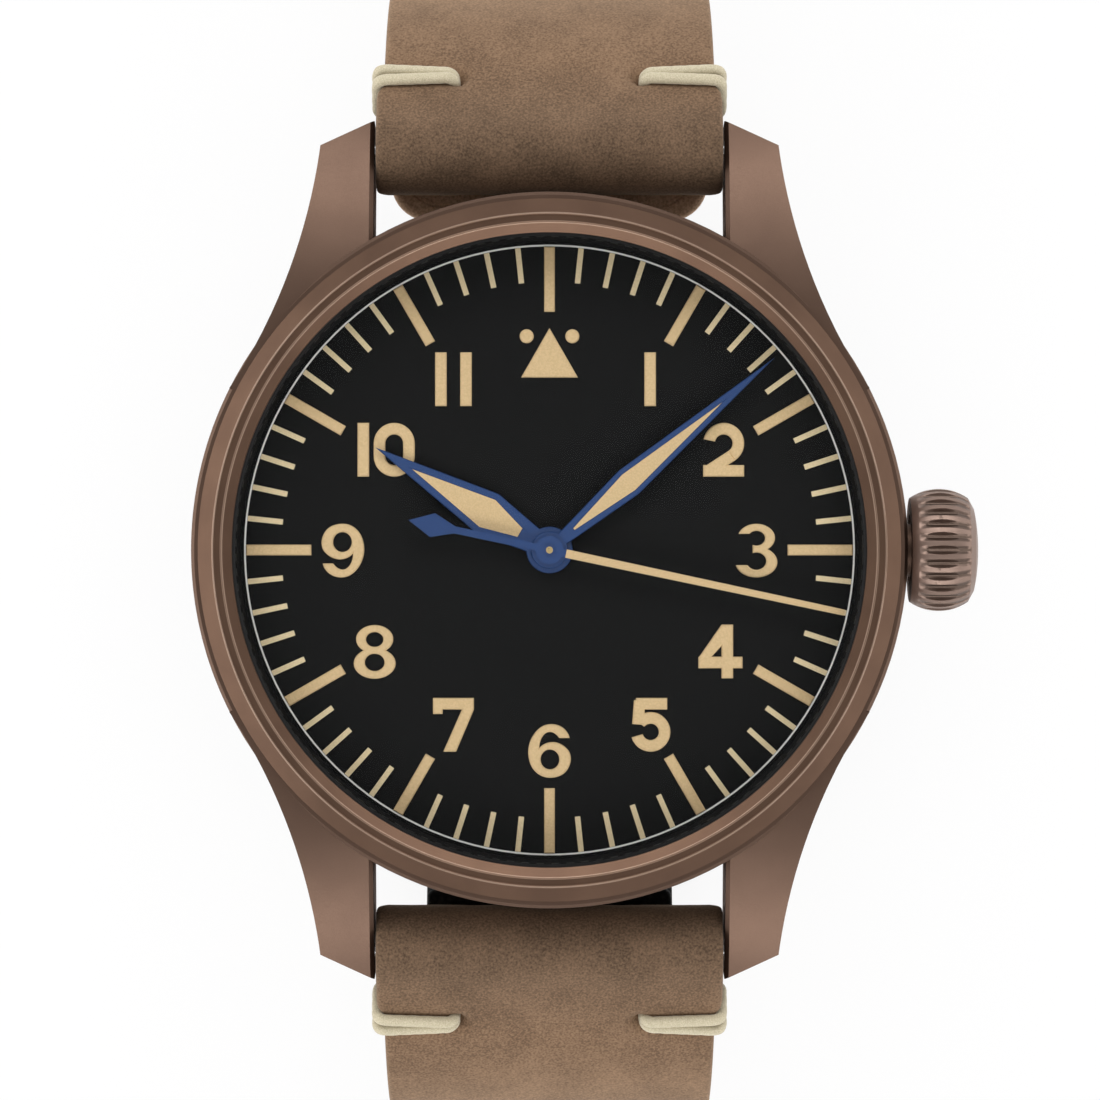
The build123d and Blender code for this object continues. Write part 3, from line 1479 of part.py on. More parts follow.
for side_name, bar_y in (("twelve", bar_reach_y), ("six", -bar_reach_y)):
    with BuildPart() as bar_tube:
        bar_disc(bar_y, -bar_half_length, 2 * bar_half_length, bar_radius)
        bar_disc(
            bar_y,
            -bar_half_length + bar_lip_length,
            2 * bar_half_length - 2 * bar_lip_length,
            bar_bore_radius,
            Mode.SUBTRACT,
        )
        bar_disc(
            bar_y,
            -bar_half_length - overrun,
            2 * bar_half_length + 2 * overrun,
            bar_tip_radius + bar_slide_clearance,
            Mode.SUBTRACT,
        )
    bar_tube.part.label = f"bar_{side_name}_tube"
    export_step(bar_tube.part, f"parts/bar_{side_name}_tube.step")
    with BuildPart() as bar_tip:
        bar_disc(bar_y, tip_inner_x, lug_inner_x + bar_tip_reach - tip_inner_x, bar_tip_radius)
        bar_disc(bar_y, tip_inner_x, bar_tip_collar_length, bar_tip_collar_radius)
    bar_tip.part.label = f"bar_{side_name}_tip_right"
    export_step(bar_tip.part, f"parts/bar_{side_name}_tip_right.step")
    left_tip = bar_tip.part.mirror(Plane.YZ)
    left_tip.label = f"bar_{side_name}_tip_left"
    export_step(left_tip, f"parts/bar_{side_name}_tip_left.step")

spring_half = tip_inner_x - bar_slide_clearance
with BuildPart() as bar_springs:
    for bar_y in (bar_reach_y, -bar_reach_y):
        with BuildLine() as coil:
            Helix(
                pitch=2 * spring_half / bar_spring_turns,
                height=2 * spring_half,
                radius=bar_spring_radius,
                center=(-spring_half, bar_y, bar_level),
                direction=(1, 0, 0),
            )
        with BuildSketch(Plane(origin=coil.line @ 0, z_dir=coil.line % 0)):
            Circle(bar_spring_wire / 2)
        sweep(path=coil.line, is_frenet=True)
bar_springs.part.label = "bar_springs"
export_step(bar_springs.part, "parts/bar_springs.step")

# Strap: the half at twelve carries the buckle, the half at six carries the holes
twelve_plane = Plane.YZ
six_plane = Plane(origin=(0, 0, 0), x_dir=(0, -1, 0), z_dir=(-1, 0, 0))
end_run_short = short_flat_y - buckle_bar_y
short_runs = [
    (strap_leave, 0),
    (shoulder_radius, -(90 - strap_slope)),
    (short_side, 0),
    (short_bend_radius, -90),
    (end_run_short, 0),
]
flat_run = short_flat_y - long_flat_y
long_runs = [
    (strap_leave, 0),
    (shoulder_radius, -(90 - strap_slope)),
    (long_side, 0),
    (long_side_bend_radius, -90),
    (flat_run, 0),
    (tail_bend_radius, -tail_turn),
]
taper_outline = [
    (strap_lug_width / 2, roll_radius * 4),
    (strap_lug_width / 2, strap_full_width_level),
    (strap_stitch_width / 2, strap_stitch_level),
    (strap_frame_width / 2, strap_frame_level),
    (strap_buckle_width / 2, strap_taper_end_level),
    (strap_buckle_width / 2, rest_level),
]


def taper_strap():
    """Keep of the open part only what lies inside the strap's tapering outline."""
    with BuildSketch(Plane.XZ) as outline:
        Polygon(*taper_outline, *[(-x, z) for x, z in reversed(taper_outline)], align=None)
    extrude(outline.sketch, amount=case_diameter, both=True, mode=Mode.INTERSECT)


def leather(plane, runs, near, far, start=seam_start):
    """Strip of leather across the strap's width, added to the open part."""
    with BuildSketch(plane) as outline:
        draw_strip(start, -strap_slope, runs, near, far)
    extrude(outline.sketch, amount=strap_lug_width / 2, both=True)


def rolled_end(plane):
    """Leather rolled round a spring bar, added to the open part."""
    with BuildSketch(plane) as outline:
        with Locations((bar_reach_y, bar_level)):
            Circle(roll_radius)
    extrude(outline.sketch, amount=strap_lug_width / 2, both=True)


def bar_way(plane):
    """Way for the spring bar and room for the case's band, cut from the open part."""
    with BuildSketch(plane) as outline:
        with Locations((bar_reach_y, bar_level)):
            Circle(roll_inner_radius)
    extrude(outline.sketch, amount=case_radius, both=True, mode=Mode.SUBTRACT)
    with BuildSketch(Plane.XY.offset(bar_level - relief_height / 2)) as outline:
        Circle(case_radius + case_relief)
    extrude(outline.sketch, amount=relief_height, mode=Mode.SUBTRACT)


def upright_hole(y, width, length, mode=Mode.SUBTRACT):
    """Hole or slot through the strap's flat bottom, cut from the open part."""
    with BuildSketch(Plane.XY.offset(rest_level)) as outline:
        with Locations((0, y)):
            SlotOverall(length, width, rotation=90)
    extrude(outline.sketch, amount=short_bottom + buckle_roll_radius - rest_level, mode=mode)


hole_places = [tongue_hole_y + strap_hole_pitch * (index + 1) for index in range(strap_hole_count)]
flat_hole_places = [y for y in hole_places if y < short_flat_y]
tail_hole_places = [y for y in hole_places if y >= short_flat_y]
tail_hole_turns = [math.degrees((y - short_flat_y) / tail_bend_radius) for y in tail_hole_places]
tail_centre_level = long_bottom + tail_bend_radius


def strap_holes():
    """Buckle holes of the long half, cut from the open part."""
    upright_hole(tongue_hole_y, strap_hole_width, tongue_hole_length)
    for y in flat_hole_places:
        upright_hole(y, strap_hole_width, strap_hole_width + overrun / 1000)
    for turn in tail_hole_turns:
        outwards = Vector(0, math.sin(math.radians(turn)), -math.cos(math.radians(turn)))
        start = Vector(0, short_flat_y, tail_centre_level) + outwards * (tail_bend_radius - outer_thickness)
        with BuildSketch(Plane(origin=start, x_dir=(1, 0, 0), z_dir=outwards)) as outline:
            Circle(strap_hole_width / 2)
        extrude(outline.sketch, amount=outer_thickness * 3, mode=Mode.SUBTRACT)


def round_tail():
    """Round the corners of the long half's free end in the open part."""
    end_turn = math.radians(tail_turn)
    outwards = Vector(0, math.sin(end_turn), -math.cos(end_turn))
    tip = Vector(0, short_flat_y, tail_centre_level) + outwards * tail_bend_radius
    with BuildSketch(Plane(origin=tip, x_dir=(1, 0, 0), z_dir=outwards)) as outline:
        with Locations((0, -overrun)):
            Rectangle(strap_lug_width, tail_tip_radius + overrun, align=(Align.CENTER, Align.MIN))
        with Locations((0, -2 * overrun)):
            Rectangle(
                strap_buckle_width - 2 * tail_tip_radius,
                tail_tip_radius + 3 * overrun,
                align=(Align.CENTER, Align.MIN),
                mode=Mode.SUBTRACT,
            )
        with Locations(
            (strap_buckle_width / 2 - tail_tip_radius, tail_tip_radius),
            (tail_tip_radius - strap_buckle_width / 2, tail_tip_radius),
        ):
            Circle(tail_tip_radius, mode=Mode.SUBTRACT)
    extrude(outline.sketch, amount=outer_thickness * 2, both=True, mode=Mode.SUBTRACT)


roll_bottom = bar_level - roll_radius
with BuildPart() as strap_short_outer:
    with BuildSketch(twelve_plane):
        Polygon(
            (flap_end_y, roll_bottom - flap_thickness),
            (flap_root_y - flap_root_slant, roll_bottom - flap_thickness),
            (flap_root_y, roll_bottom - flap_bite / 2),
            (flap_root_y - flap_root_slant, roll_bottom + flap_bite),
            (bar_reach_y, roll_bottom + flap_bite),
            (bar_reach_y - 2 * flap_bite, roll_bottom),
            (flap_end_y, roll_bottom),
            align=None,
        )
    extrude(amount=flap_width / 2, both=True)
    flap_corners = strap_short_outer.edges().filter_by(Axis.Z).sort_by(Axis.Y)[:2]
    fillet(flap_corners, flap_corner_radius)
    leather(twelve_plane, short_runs, 0, outer_thickness)
    rolled_end(twelve_plane)
    with BuildSketch(Plane.YZ):
        with Locations((buckle_bar_y, buckle_bar_level)):
            Circle(buckle_roll_radius)
    extrude(amount=strap_buckle_width / 2, both=True)
    bar_way(twelve_plane)
    taper_strap()
    with BuildSketch(Plane.YZ):
        with Locations((buckle_bar_y, buckle_bar_level)):
            Circle(buckle_roll_bore)
    extrude(amount=case_radius, both=True, mode=Mode.SUBTRACT)
    with BuildSketch(Plane.XY.offset(rest_level)):
        with Locations((0, buckle_bar_y)):
            Rectangle(tongue_slot_width, 2 * buckle_roll_radius + 2 * layer_gap)
    extrude(amount=short_bottom + 3 * buckle_roll_radius - rest_level, mode=Mode.SUBTRACT)
strap_short_outer.part.label = "strap_short_outer"
export_step(strap_short_outer.part, "parts/strap_short_outer.step")

lining_seam_start = seam_start + along(-strap_slope, lining_start)
short_lining_runs = [(strap_leave - lining_start, 0)] + short_runs[1:4] + [
    (short_flat_y - buckle_bar_y - buckle_roll_radius - layer_gap, 0)
]
long_lining_runs = [(strap_leave - lining_start, 0)] + long_runs[1:]
with BuildPart() as strap_short_lining:
    leather(twelve_plane, short_lining_runs, -lining_thickness, 0, lining_seam_start)
    taper_strap()
strap_short_lining.part.label = "strap_short_lining"
export_step(strap_short_lining.part, "parts/strap_short_lining.step")

with BuildPart() as strap_long_outer:
    leather(six_plane, long_runs, 0, outer_thickness)
    rolled_end(six_plane)
    bar_way(six_plane)
    taper_strap()
    round_tail()
    strap_holes()
strap_long_outer.part.label = "strap_long_outer"
export_step(strap_long_outer.part, "parts/strap_long_outer.step")

lining_corner = lining_seam_start + along(-strap_slope - 90, lining_thickness)
lining_bite = lining_corner + along(-strap_slope, 2 * tab_bite) + along(90 - strap_slope, tab_bite)
lining_heel = lining_corner + along(-strap_slope, 2 * tab_bite)
with BuildPart() as strap_long_lining:
    leather(six_plane, long_lining_runs, -lining_thickness, 0, lining_seam_start)
    taper_strap()
    round_tail()
    strap_holes()
    with BuildSketch(six_plane):
        Polygon(
            (tab_end_y, roll_bottom - tab_gap - tab_thickness),
            (tab_heel_y, roll_bottom - tab_gap - tab_thickness),
            lining_heel,
            lining_bite,
            lining_corner,
            (tab_crook_y, roll_bottom - tab_gap),
            (tab_end_y, roll_bottom - tab_gap),
            align=None,
        )
    extrude(amount=tab_width / 2, both=True)
strap_long_lining.part.label = "strap_long_lining"
export_step(strap_long_lining.part, "parts/strap_long_lining.step")

# Stitches: two strands round each edge of the strap, at both lug ends
stitch_x = strap_stitch_width / 2 + stitch_radius + thread_rest
stitch_top = outer_thickness + stitch_radius + thread_rest
stitch_bottom = -lining_thickness - stitch_radius - thread_rest
for side_name, direction in (("twelve", 1), ("six", -1)):
    with BuildPart() as stitches:
        for edge in (1, -1):
            for strand in (-1, 1):
                place = seam_start + along(-strap_slope, stitch_at + strand * stitch_spacing / 2)
                normal = Vector(0, direction * math.sin(slope), math.cos(slope))
                plane = Plane(
                    origin=(0, direction * place.X, place.Y),
                    x_dir=(edge, 0, 0),
                    z_dir=Vector(edge, 0, 0).cross(normal),
                )
                with BuildLine(plane) as route:
                    FilletPolyline(
                        (stitch_inner_x, stitch_top),
                        (stitch_x, stitch_top),
                        (stitch_x, stitch_bottom),
                        (stitch_under_x, stitch_bottom),
                        radius=stitch_bend,
                    )
                with BuildSketch(Plane(origin=route.line @ 0, z_dir=route.line % 0)):
                    Circle(stitch_radius)
                sweep(path=route.line)
    stitches.part.label = f"stitches_{side_name}"
    export_step(stitches.part, f"parts/stitches_{side_name}.step")

# Buckle: a frame open at the back, its pin, and the tongue
front_bar_arc = long_side_bend_radius + outer_thickness + front_bar_gap + front_bar_radius
bend_centre_level = long_bottom + long_side_bend_radius
front_bar_y = buckle_bar_y - buckle_reach
front_bar_level = bend_centre_level - math.sqrt(front_bar_arc**2 - (front_bar_y - long_flat_y) ** 2)
frame_tilt = math.atan2(front_bar_level - buckle_bar_level, buckle_reach)
frame_length = math.hypot(front_bar_level - buckle_bar_level, buckle_reach)
arm_inner_x = strap_buckle_width / 2 + buckle_side_gap
arm_outer_x = arm_inner_x + buckle_arm_width
frame_plane = Plane(
    origin=(0, (buckle_bar_y + front_bar_y) / 2, (buckle_bar_level + front_bar_level) / 2),
    x_dir=(1, 0, 0),
    z_dir=(0, math.sin(frame_tilt), math.cos(frame_tilt)),
)
frame_overall = frame_length + buckle_arm_height
with BuildPart() as buckle_frame:
    for side in (1, -1):
        with BuildSketch(Plane.YZ.offset(side * (arm_inner_x + buckle_arm_width / 2))):
            with Locations((frame_plane.origin.Y, frame_plane.origin.Z)):
                SlotOverall(frame_overall, buckle_arm_height, rotation=-math.degrees(frame_tilt))
        extrude(amount=buckle_arm_width / 2, both=True)
    with BuildSketch(Plane.YZ):
        with Locations((front_bar_y, front_bar_level)):
            Circle(front_bar_radius)
    extrude(amount=arm_outer_x, both=True)
    with BuildSketch(frame_plane) as frame_plan:
        Rectangle(2 * arm_outer_x, frame_overall)
        fillet(frame_plan.vertices().sort_by(Axis.Y)[:2], buckle_corner_radius)
    extrude(amount=buckle_arm_height, both=True, mode=Mode.INTERSECT)
    with BuildSketch(Plane.YZ):
        with Locations((buckle_bar_y, buckle_bar_level)):
            Circle(buckle_pin_radius)
    extrude(amount=arm_outer_x - pin_end_inset, both=True, mode=Mode.SUBTRACT)
buckle_frame.part.label = "buckle_frame"
export_step(buckle_frame.part, "parts/buckle_frame.step")

with BuildPart() as buckle_pin:
    with BuildSketch(Plane.YZ):
        with Locations((buckle_bar_y, buckle_bar_level)):
            Circle(buckle_pin_radius)
    extrude(amount=arm_outer_x - pin_end_inset, both=True)
buckle_pin.part.label = "buckle_pin"
export_step(buckle_pin.part, "parts/buckle_pin.step")

tongue_run_level = front_bar_level - front_bar_radius - tongue_rest_gap - tongue_thickness / 2
tongue_bore = buckle_pin_radius + tongue_ring_clearance
tongue_ring = tongue_bore + tongue_ring_wall
leg_start_y = buckle_bar_y - tongue_ring_wall
with BuildPart() as buckle_tongue:
    with BuildSketch(Plane.YZ):
        with BuildLine():
            Polyline(
                (leg_start_y, buckle_bar_level - tongue_bore),
                (tongue_leg_y, tongue_run_level + tongue_thickness / 2),
                (tongue_run_start_y, tongue_run_level),
                (front_bar_y - tongue_tip_overhang, tongue_run_level),
            )
        trace(line_width=tongue_thickness)
        with Locations((buckle_bar_y, buckle_bar_level)):
            Circle(tongue_ring)
            Circle(tongue_bore, mode=Mode.SUBTRACT)
    extrude(amount=tongue_width / 2, both=True)
buckle_tongue.part.label = "buckle_tongue"
export_step(buckle_tongue.part, "parts/buckle_tongue.step")

# Keepers: rings of leather round both layers, their soles on the resting plane
keeper_half = strap_buckle_width / 2 + keeper_side_clearance
keeper_inner_bottom = rest_level + keeper_sole
for keeper_name, keeper_y, keeper_play in (
    ("fixed_keeper", fixed_keeper_y, 0.0),
    ("sliding_keeper", sliding_keeper_y, keeper_slide_clearance),
):
    keeper_inner_top = short_bottom + lining_thickness + keeper_play
    with BuildPart() as keeper:
        with BuildSketch(Plane.XZ.offset(-keeper_y - keeper_length / 2)) as keeper_outline:
            with Locations((0, rest_level)):
                Rectangle(
                    2 * keeper_half + 2 * keeper_wall,
                    keeper_inner_top + keeper_inner_wall - rest_level,
                    align=(Align.CENTER, Align.MIN),
                )
            fillet(keeper_outline.vertices(), keeper_corner)
            with Locations((0, keeper_inner_bottom)):
                Rectangle(
                    2 * keeper_half,
                    keeper_inner_top - keeper_inner_bottom,
                    align=(Align.CENTER, Align.MIN),
                    mode=Mode.SUBTRACT,
                )
        extrude(amount=keeper_length)
    keeper.part.label = keeper_name
    export_step(keeper.part, f"parts/{keeper_name}.step")
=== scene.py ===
"""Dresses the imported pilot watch: finishes, leather, thread, crystal, floor, light and camera.

All lengths in the classes are in millimetres. The meshes that reach Blender are in metres.
"""

import logging
import math
from dataclasses import dataclass, field
from enum import Enum

import bmesh
import bpy
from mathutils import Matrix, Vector, noise

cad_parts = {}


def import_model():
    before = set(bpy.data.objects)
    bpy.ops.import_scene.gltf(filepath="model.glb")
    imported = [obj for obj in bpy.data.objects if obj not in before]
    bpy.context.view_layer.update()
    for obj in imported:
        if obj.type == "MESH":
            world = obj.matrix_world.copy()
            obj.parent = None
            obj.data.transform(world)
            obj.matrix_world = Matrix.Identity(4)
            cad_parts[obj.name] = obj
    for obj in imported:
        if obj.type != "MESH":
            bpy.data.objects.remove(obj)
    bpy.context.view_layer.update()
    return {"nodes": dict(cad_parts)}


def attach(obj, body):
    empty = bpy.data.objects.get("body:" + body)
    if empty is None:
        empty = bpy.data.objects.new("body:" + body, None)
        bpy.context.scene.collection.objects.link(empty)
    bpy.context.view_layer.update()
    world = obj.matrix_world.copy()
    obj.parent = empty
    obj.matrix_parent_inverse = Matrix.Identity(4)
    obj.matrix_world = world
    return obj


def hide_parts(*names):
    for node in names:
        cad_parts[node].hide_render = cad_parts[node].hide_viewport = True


MM = 0.001
# Edges that bend more than this, in degrees, stay sharp
CREASE = 40.0
# The level on which the strap's keepers stand
REST_LEVEL = -46.043
# Stretches of a noise's values that are spread over a whole range
COLOR_STRETCH = (0.35, 0.65)
ROUGHNESS_STRETCH = (0.3, 0.7)
RISE = (0.0, 1.0)
FALL = (1.0, 0.0)

Color = tuple[float, float, float]
Point = tuple[float, float]
Socket = bpy.types.NodeSocket

log = logging.getLogger("pilot_watch")


class Slot(Enum):
    """Material slots of the record."""

    CASE = "case_metal"
    BEZEL = "bezel_metal"
    CROWN = "crown_metal"
    CRYSTAL = "crystal"
    GASKET = "gasket"
    FLANGE = "inner_flange"
    DIAL = "dial"
    PRINT = "dial_print"
    LUME = "lume"
    HANDS = "hands"
    PLATE = "plate_metal"
    BRASS = "brass"
    WHEEL = "wheel_steel"
    JEWEL = "jewel"
    SCREW = "screw_steel"
    LEATHER = "leather"
    LINING = "lining_leather"
    THREAD = "thread"


class Grain(Enum):
    """Ways in which a metal surface was worked."""

    BLASTED = "fine even grain, as after glass beads"
    TURNED = "fine rings round the watch's axis, as from a lathe"


class Side(Enum):
    """Which end of the case a strap half hangs from: the sign of its y."""

    TWELVE = 1
    SIX = -1


class NodeSheet:
    """A node tree under construction, with short calls for the nodes used here."""

    def __init__(self, tree: bpy.types.NodeTree, output: str) -> None:
        """Empties a tree and adds its output.

        Args:
            tree: the node tree.
            output: the type of its output node.
        """
        self.tree = tree
        self.tree.nodes.clear()
        self.output = self.add(output)

    def add(self, kind: str, **values: float | tuple[float, ...]) -> bpy.types.Node:
        """Adds a node.

        Args:
            kind: the node's type.
            values: socket names with underscores for spaces, and their plain values.

        Returns:
            The node.
        """
        node = self.tree.nodes.new(kind)
        for name, value in values.items():
            node.inputs[name.replace("_", " ")].default_value = value
        return node

    def join(self, source: Socket, target: Socket) -> None:
        """Links two sockets."""
        self.tree.links.new(source, target)

    def combine(self, kind: str, first: Socket, second: Socket | float) -> Socket:
        """Combines two numbers.

        Args:
            kind: the operation's name in Blender.
            first: the first number.
            second: the second number, as a socket or a value.

        Returns:
            The result's socket.
        """
        node = self.add("ShaderNodeMath")
        node.operation = kind
        self.join(first, node.inputs[0])
        if isinstance(second, (int, float)):
            node.inputs[1].default_value = second
        else:
            self.join(second, node.inputs[1])
        return node.outputs[0]

    def split(self, vector: Socket) -> bpy.types.NodeOutputs:
        """Parts a vector.

        Args:
            vector: the vector.

        Returns:
            The sockets X, Y and Z.
        """
        node = self.add("ShaderNodeSeparateXYZ")
        self.join(vector, node.inputs[0])
        return node.outputs

    def spread(self, value: Socket, source: Point, target: Point) -> Socket:
        """Maps a number from one range to another, held at the ends.

        Args:
            value: the number.
            source: the range it comes from.
            target: the range it goes to.

        Returns:
            The mapped number.
        """
        node = self.add(
            "ShaderNodeMapRange", From_Min=source[0], From_Max=source[1], To_Min=target[0], To_Max=target[1]
        )
        self.join(value, node.inputs["Value"])
        return node.outputs["Result"]

    def mix(self, share: Socket, first: Socket, second: Socket) -> None:
        """Ends the tree in a mix of two shaders.

        Args:
            share: 0 for the first shader, 1 for the second.
            first: the shader at 0.
            second: the shader at 1.
        """
        node = self.add("ShaderNodeMixShader")
        for source, target in zip((share, first, second), node.inputs):
            self.join(source, target)
        self.join(node.outputs[0], self.output.inputs["Surface"])


class Painter(NodeSheet):
    """One material under construction, in the object's own coordinates."""

    def __init__(self, name: str, **values: float | tuple[float, ...]) -> None:
        """Starts a material with a Principled shader.

        Args:
            name: the material's name.
            values: the shader's plain values, as for a node.
        """
        self.material = bpy.data.materials.new(name)
        self.material.use_nodes = True
        super().__init__(self.material.node_tree, "ShaderNodeOutputMaterial")
        self.shader = self.add("ShaderNodeBsdfPrincipled", **values)
        self.join(self.shader.outputs["BSDF"], self.output.inputs["Surface"])
        self.place = self.add("ShaderNodeTexCoord").outputs["Object"]

    def speckle(self, size: float, detail: float = 3.0) -> Socket:
        """Noise whose blotches are about as large as given.

        Args:
            size: the blotches' size in millimetres.
            detail: how many finer layers the noise has.

        Returns:
            The noise as a number from 0 to 1.
        """
        node = self.add("ShaderNodeTexNoise", Scale=1 / (size * MM), Detail=detail)
        self.join(self.place, node.inputs["Vector"])
        return node.outputs["Fac"]

    def cells(self, size: float) -> Socket:
        """Distance to the nearest of many scattered points, for pebbled surfaces.

        Args:
            size: the cells' size in millimetres.

        Returns:
            The distance as a share of a cell.
        """
        node = self.add("ShaderNodeTexVoronoi", Scale=1 / (size * MM))
        self.join(self.place, node.inputs["Vector"])
        return node.outputs["Distance"]

    def axis_distance(self) -> Socket:
        """Distance from the watch's own axis.

        Returns:
            The distance in metres.
        """
        flat = self.add("ShaderNodeVectorMath")
        flat.operation = "MULTIPLY"
        flat.inputs[1].default_value = (1, 1, 0)
        self.join(self.place, flat.inputs[0])
        length = self.add("ShaderNodeVectorMath")
        length.operation = "LENGTH"
        self.join(flat.outputs[0], length.inputs[0])
        return length.outputs["Value"]

    def rings(self, size: float) -> Socket:
        """Noise that depends on the distance from the watch's axis alone.

        Args:
            size: the rings' width in millimetres.

        Returns:
            The noise as a number from 0 to 1.
        """
        node = self.add("ShaderNodeTexNoise", Scale=1 / (size * MM), Detail=2.0)
        node.noise_dimensions = "1D"
        self.join(self.axis_distance(), node.inputs["W"])
        return node.outputs["Fac"]

    def ring_lines(self, radii: tuple[float, ...], half_width: float) -> Socket:
        """Thin rings round the watch's axis.

        Args:
            radii: the rings' radii in millimetres.
            half_width: half of a ring's width in millimetres.

        Returns:
            1 on the rings and 0 beside them.
        """
        share = None
        for radius in radii:
            away = self.combine("ABSOLUTE", self.combine("SUBTRACT", self.axis_distance(), radius * MM), 0.0)
            line = self.spread(away, (half_width * MM / 2, half_width * MM), FALL)
            share = line if share is None else self.combine("MAXIMUM", share, line)
        return share

    def ribs(self, count: int, level: float, start: Point, end: Point) -> Socket:
        """Ribs round an axis that runs along x.

        Args:
            count: how many ribs there are.
            level: the axis's height in millimetres.
            start: the stretch of x over which the ribs begin.
            end: the stretch of x over which they end.

        Returns:
            0 in the grooves and 1 on the ribs and beyond their ends.
        """
        parts = self.split(self.place)
        lifted = self.combine("SUBTRACT", parts["Z"], level * MM)
        turn = self.combine("ARCTAN2", lifted, parts["Y"])
        wave = self.combine("COSINE", self.combine("MULTIPLY", turn, count), 0.0)
        groove = self.spread(wave, (-0.5, 1.0), RISE)
        begun = self.spread(parts["X"], tuple(x * MM for x in start), RISE)
        left = self.spread(parts["X"], tuple(x * MM for x in end), FALL)
        depth = self.combine("MULTIPLY", groove, self.combine("MULTIPLY", begun, left))
        return self.spread(depth, RISE, FALL)

    def along_strap(self) -> Socket:
        """How far from the watch's middle a point lies along the strap, in metres."""
        return self.combine("ABSOLUTE", self.split(self.place)["Y"], 0.0)

    def tint(self, share: Socket, low: Color | Socket, high: Color | Socket) -> Socket:
        """A colour between two others.

        Args:
            share: 0 for the low colour, 1 for the high one.
            low: the colour at 0.
            high: the colour at 1.

        Returns:
            The colour's socket.
        """
        node = self.add("ShaderNodeMix")
        node.data_type = "RGBA"
        self.join(share, node.inputs[0])
        for socket, color in ((node.inputs[6], low), (node.inputs[7], high)):
            if isinstance(color, tuple):
                socket.default_value = (*color, 1.0)
            else:
                self.join(color, socket)
        return node.outputs[2]

    def blend(self, grain: Socket, dark: Color, light: Color) -> Socket:
        """A colour that follows the middle stretch of a noise.

        Args:
            grain: the noise.
            dark: the colour at its low values.
            light: the colour at its high values.

        Returns:
            The colour's socket.
        """
        return self.tint(self.spread(grain, COLOR_STRETCH, RISE), dark, light)

    def color(self, source: Socket) -> None:
        """Gives the surface its colour."""
        self.join(source, self.shader.inputs["Base Color"])

    def roughen(self, grain: Socket, limits: Point) -> None:
        """Lets the surface's roughness follow the middle stretch of a noise.

        Args:
            grain: the noise.
            limits: the lowest and highest roughness.
        """
        self.join(self.spread(grain, ROUGHNESS_STRETCH, limits), self.shader.inputs["Roughness"])

    def relief(self, height: Socket, depth: float) -> None:
        """Raises the surface by a height map.

        Args:
            height: the height as a number from 0 to 1.
            depth: what 1 stands for, in millimetres.
        """
        node = self.add("ShaderNodeBump", Distance=depth * MM)
        self.join(height, node.inputs["Height"])
        self.join(node.outputs["Normal"], self.shader.inputs["Normal"])


@dataclass(frozen=True)
class MetalFinish:
    """Satin metal with a fine grain, slightly uneven colour and painted highlights: lighter thin rings at
    any radii given.
    """

    name: str
    dark: Color
    light: Color
    roughness: Point = (0.38, 0.46)
    grain: Grain = Grain.BLASTED
    grain_size: float = 0.09
    grain_depth: float = 0.003
    patch_size: float = 3.0
    # Painted highlights: a lighter colour on thin rings at these radii, where ridges would catch the light
    painted_highlight_radii: tuple[float, ...] = ()
    highlight_half_width: float = 0.09
    highlight_color: Color = (0.40, 0.28, 0.21)

    def build(self) -> bpy.types.Material:
        """Makes the material.

        Returns:
            The material.
        """
        paint = Painter(self.name, Metallic=1.0)
        color = paint.blend(paint.speckle(self.patch_size), self.dark, self.light)
        # Painted highlight rings laid over the metal's colour
        if self.painted_highlight_radii:
            color = paint.tint(paint.ring_lines(self.painted_highlight_radii, self.highlight_half_width), color, self.highlight_color)
        paint.color(color)
        turned = self.grain is Grain.TURNED
        fine = paint.rings(self.grain_size) if turned else paint.speckle(self.grain_size)
        paint.roughen(fine, self.roughness)
        paint.relief(fine, self.grain_depth)
        return paint.material


@dataclass(frozen=True)
class RibbedFinish:
    """Satin metal of the crown, with ribs round its axis, in painted light and shade: ribs paler than the
    case's bronze, grooves darker between them.
    """

    name: str
    # Painted shade in the grooves, and painted light on the ribs, paler than the case's bronze
    groove: Color
    lit_rib: Color
    roughness: Point = (0.4, 0.48)
    ribs: int = 28
    axis_level: float = 4.7
    start: Point = (21.0, 21.5)
    end: Point = (23.7, 24.0)
    depth: float = 0.2
    grain_size: float = 0.09

    def build(self) -> bpy.types.Material:
        """Makes the material.

        Returns:
            The material.
        """
        paint = Painter(self.name, Metallic=1.0)
        height = paint.ribs(self.ribs, self.axis_level, self.start, self.end)
        fine = paint.speckle(self.grain_size)
        # Painted shade in the grooves and painted light on the ribs
        paint.color(paint.tint(height, self.groove, self.lit_rib))
        paint.roughen(fine, self.roughness)
        paint.relief(height, self.depth)
        return paint.material


@dataclass(frozen=True)
class PaintFinish:
    """Paint, lacquer, print, rubber or luminous filling."""

    name: str
    dark: Color
    light: Color
    roughness: Point = (0.5, 0.6)
    specular: float = 0.4
    coat: float = 0.0
    metallic: float = 0.0
    speckle_size: float = 0.12
    speckle_depth: float = 0.002

    def build(self) -> bpy.types.Material:
        """Makes the material.

        Returns:
            The material.
        """
        paint = Painter(
            self.name, Specular_IOR_Level=self.specular, Coat_Weight=self.coat, Metallic=self.metallic
        )
        fine = paint.speckle(self.speckle_size)
        paint.color(paint.blend(fine, self.dark, self.light))
        paint.roughen(fine, self.roughness)
        paint.relief(fine, self.speckle_depth)
        return paint.material


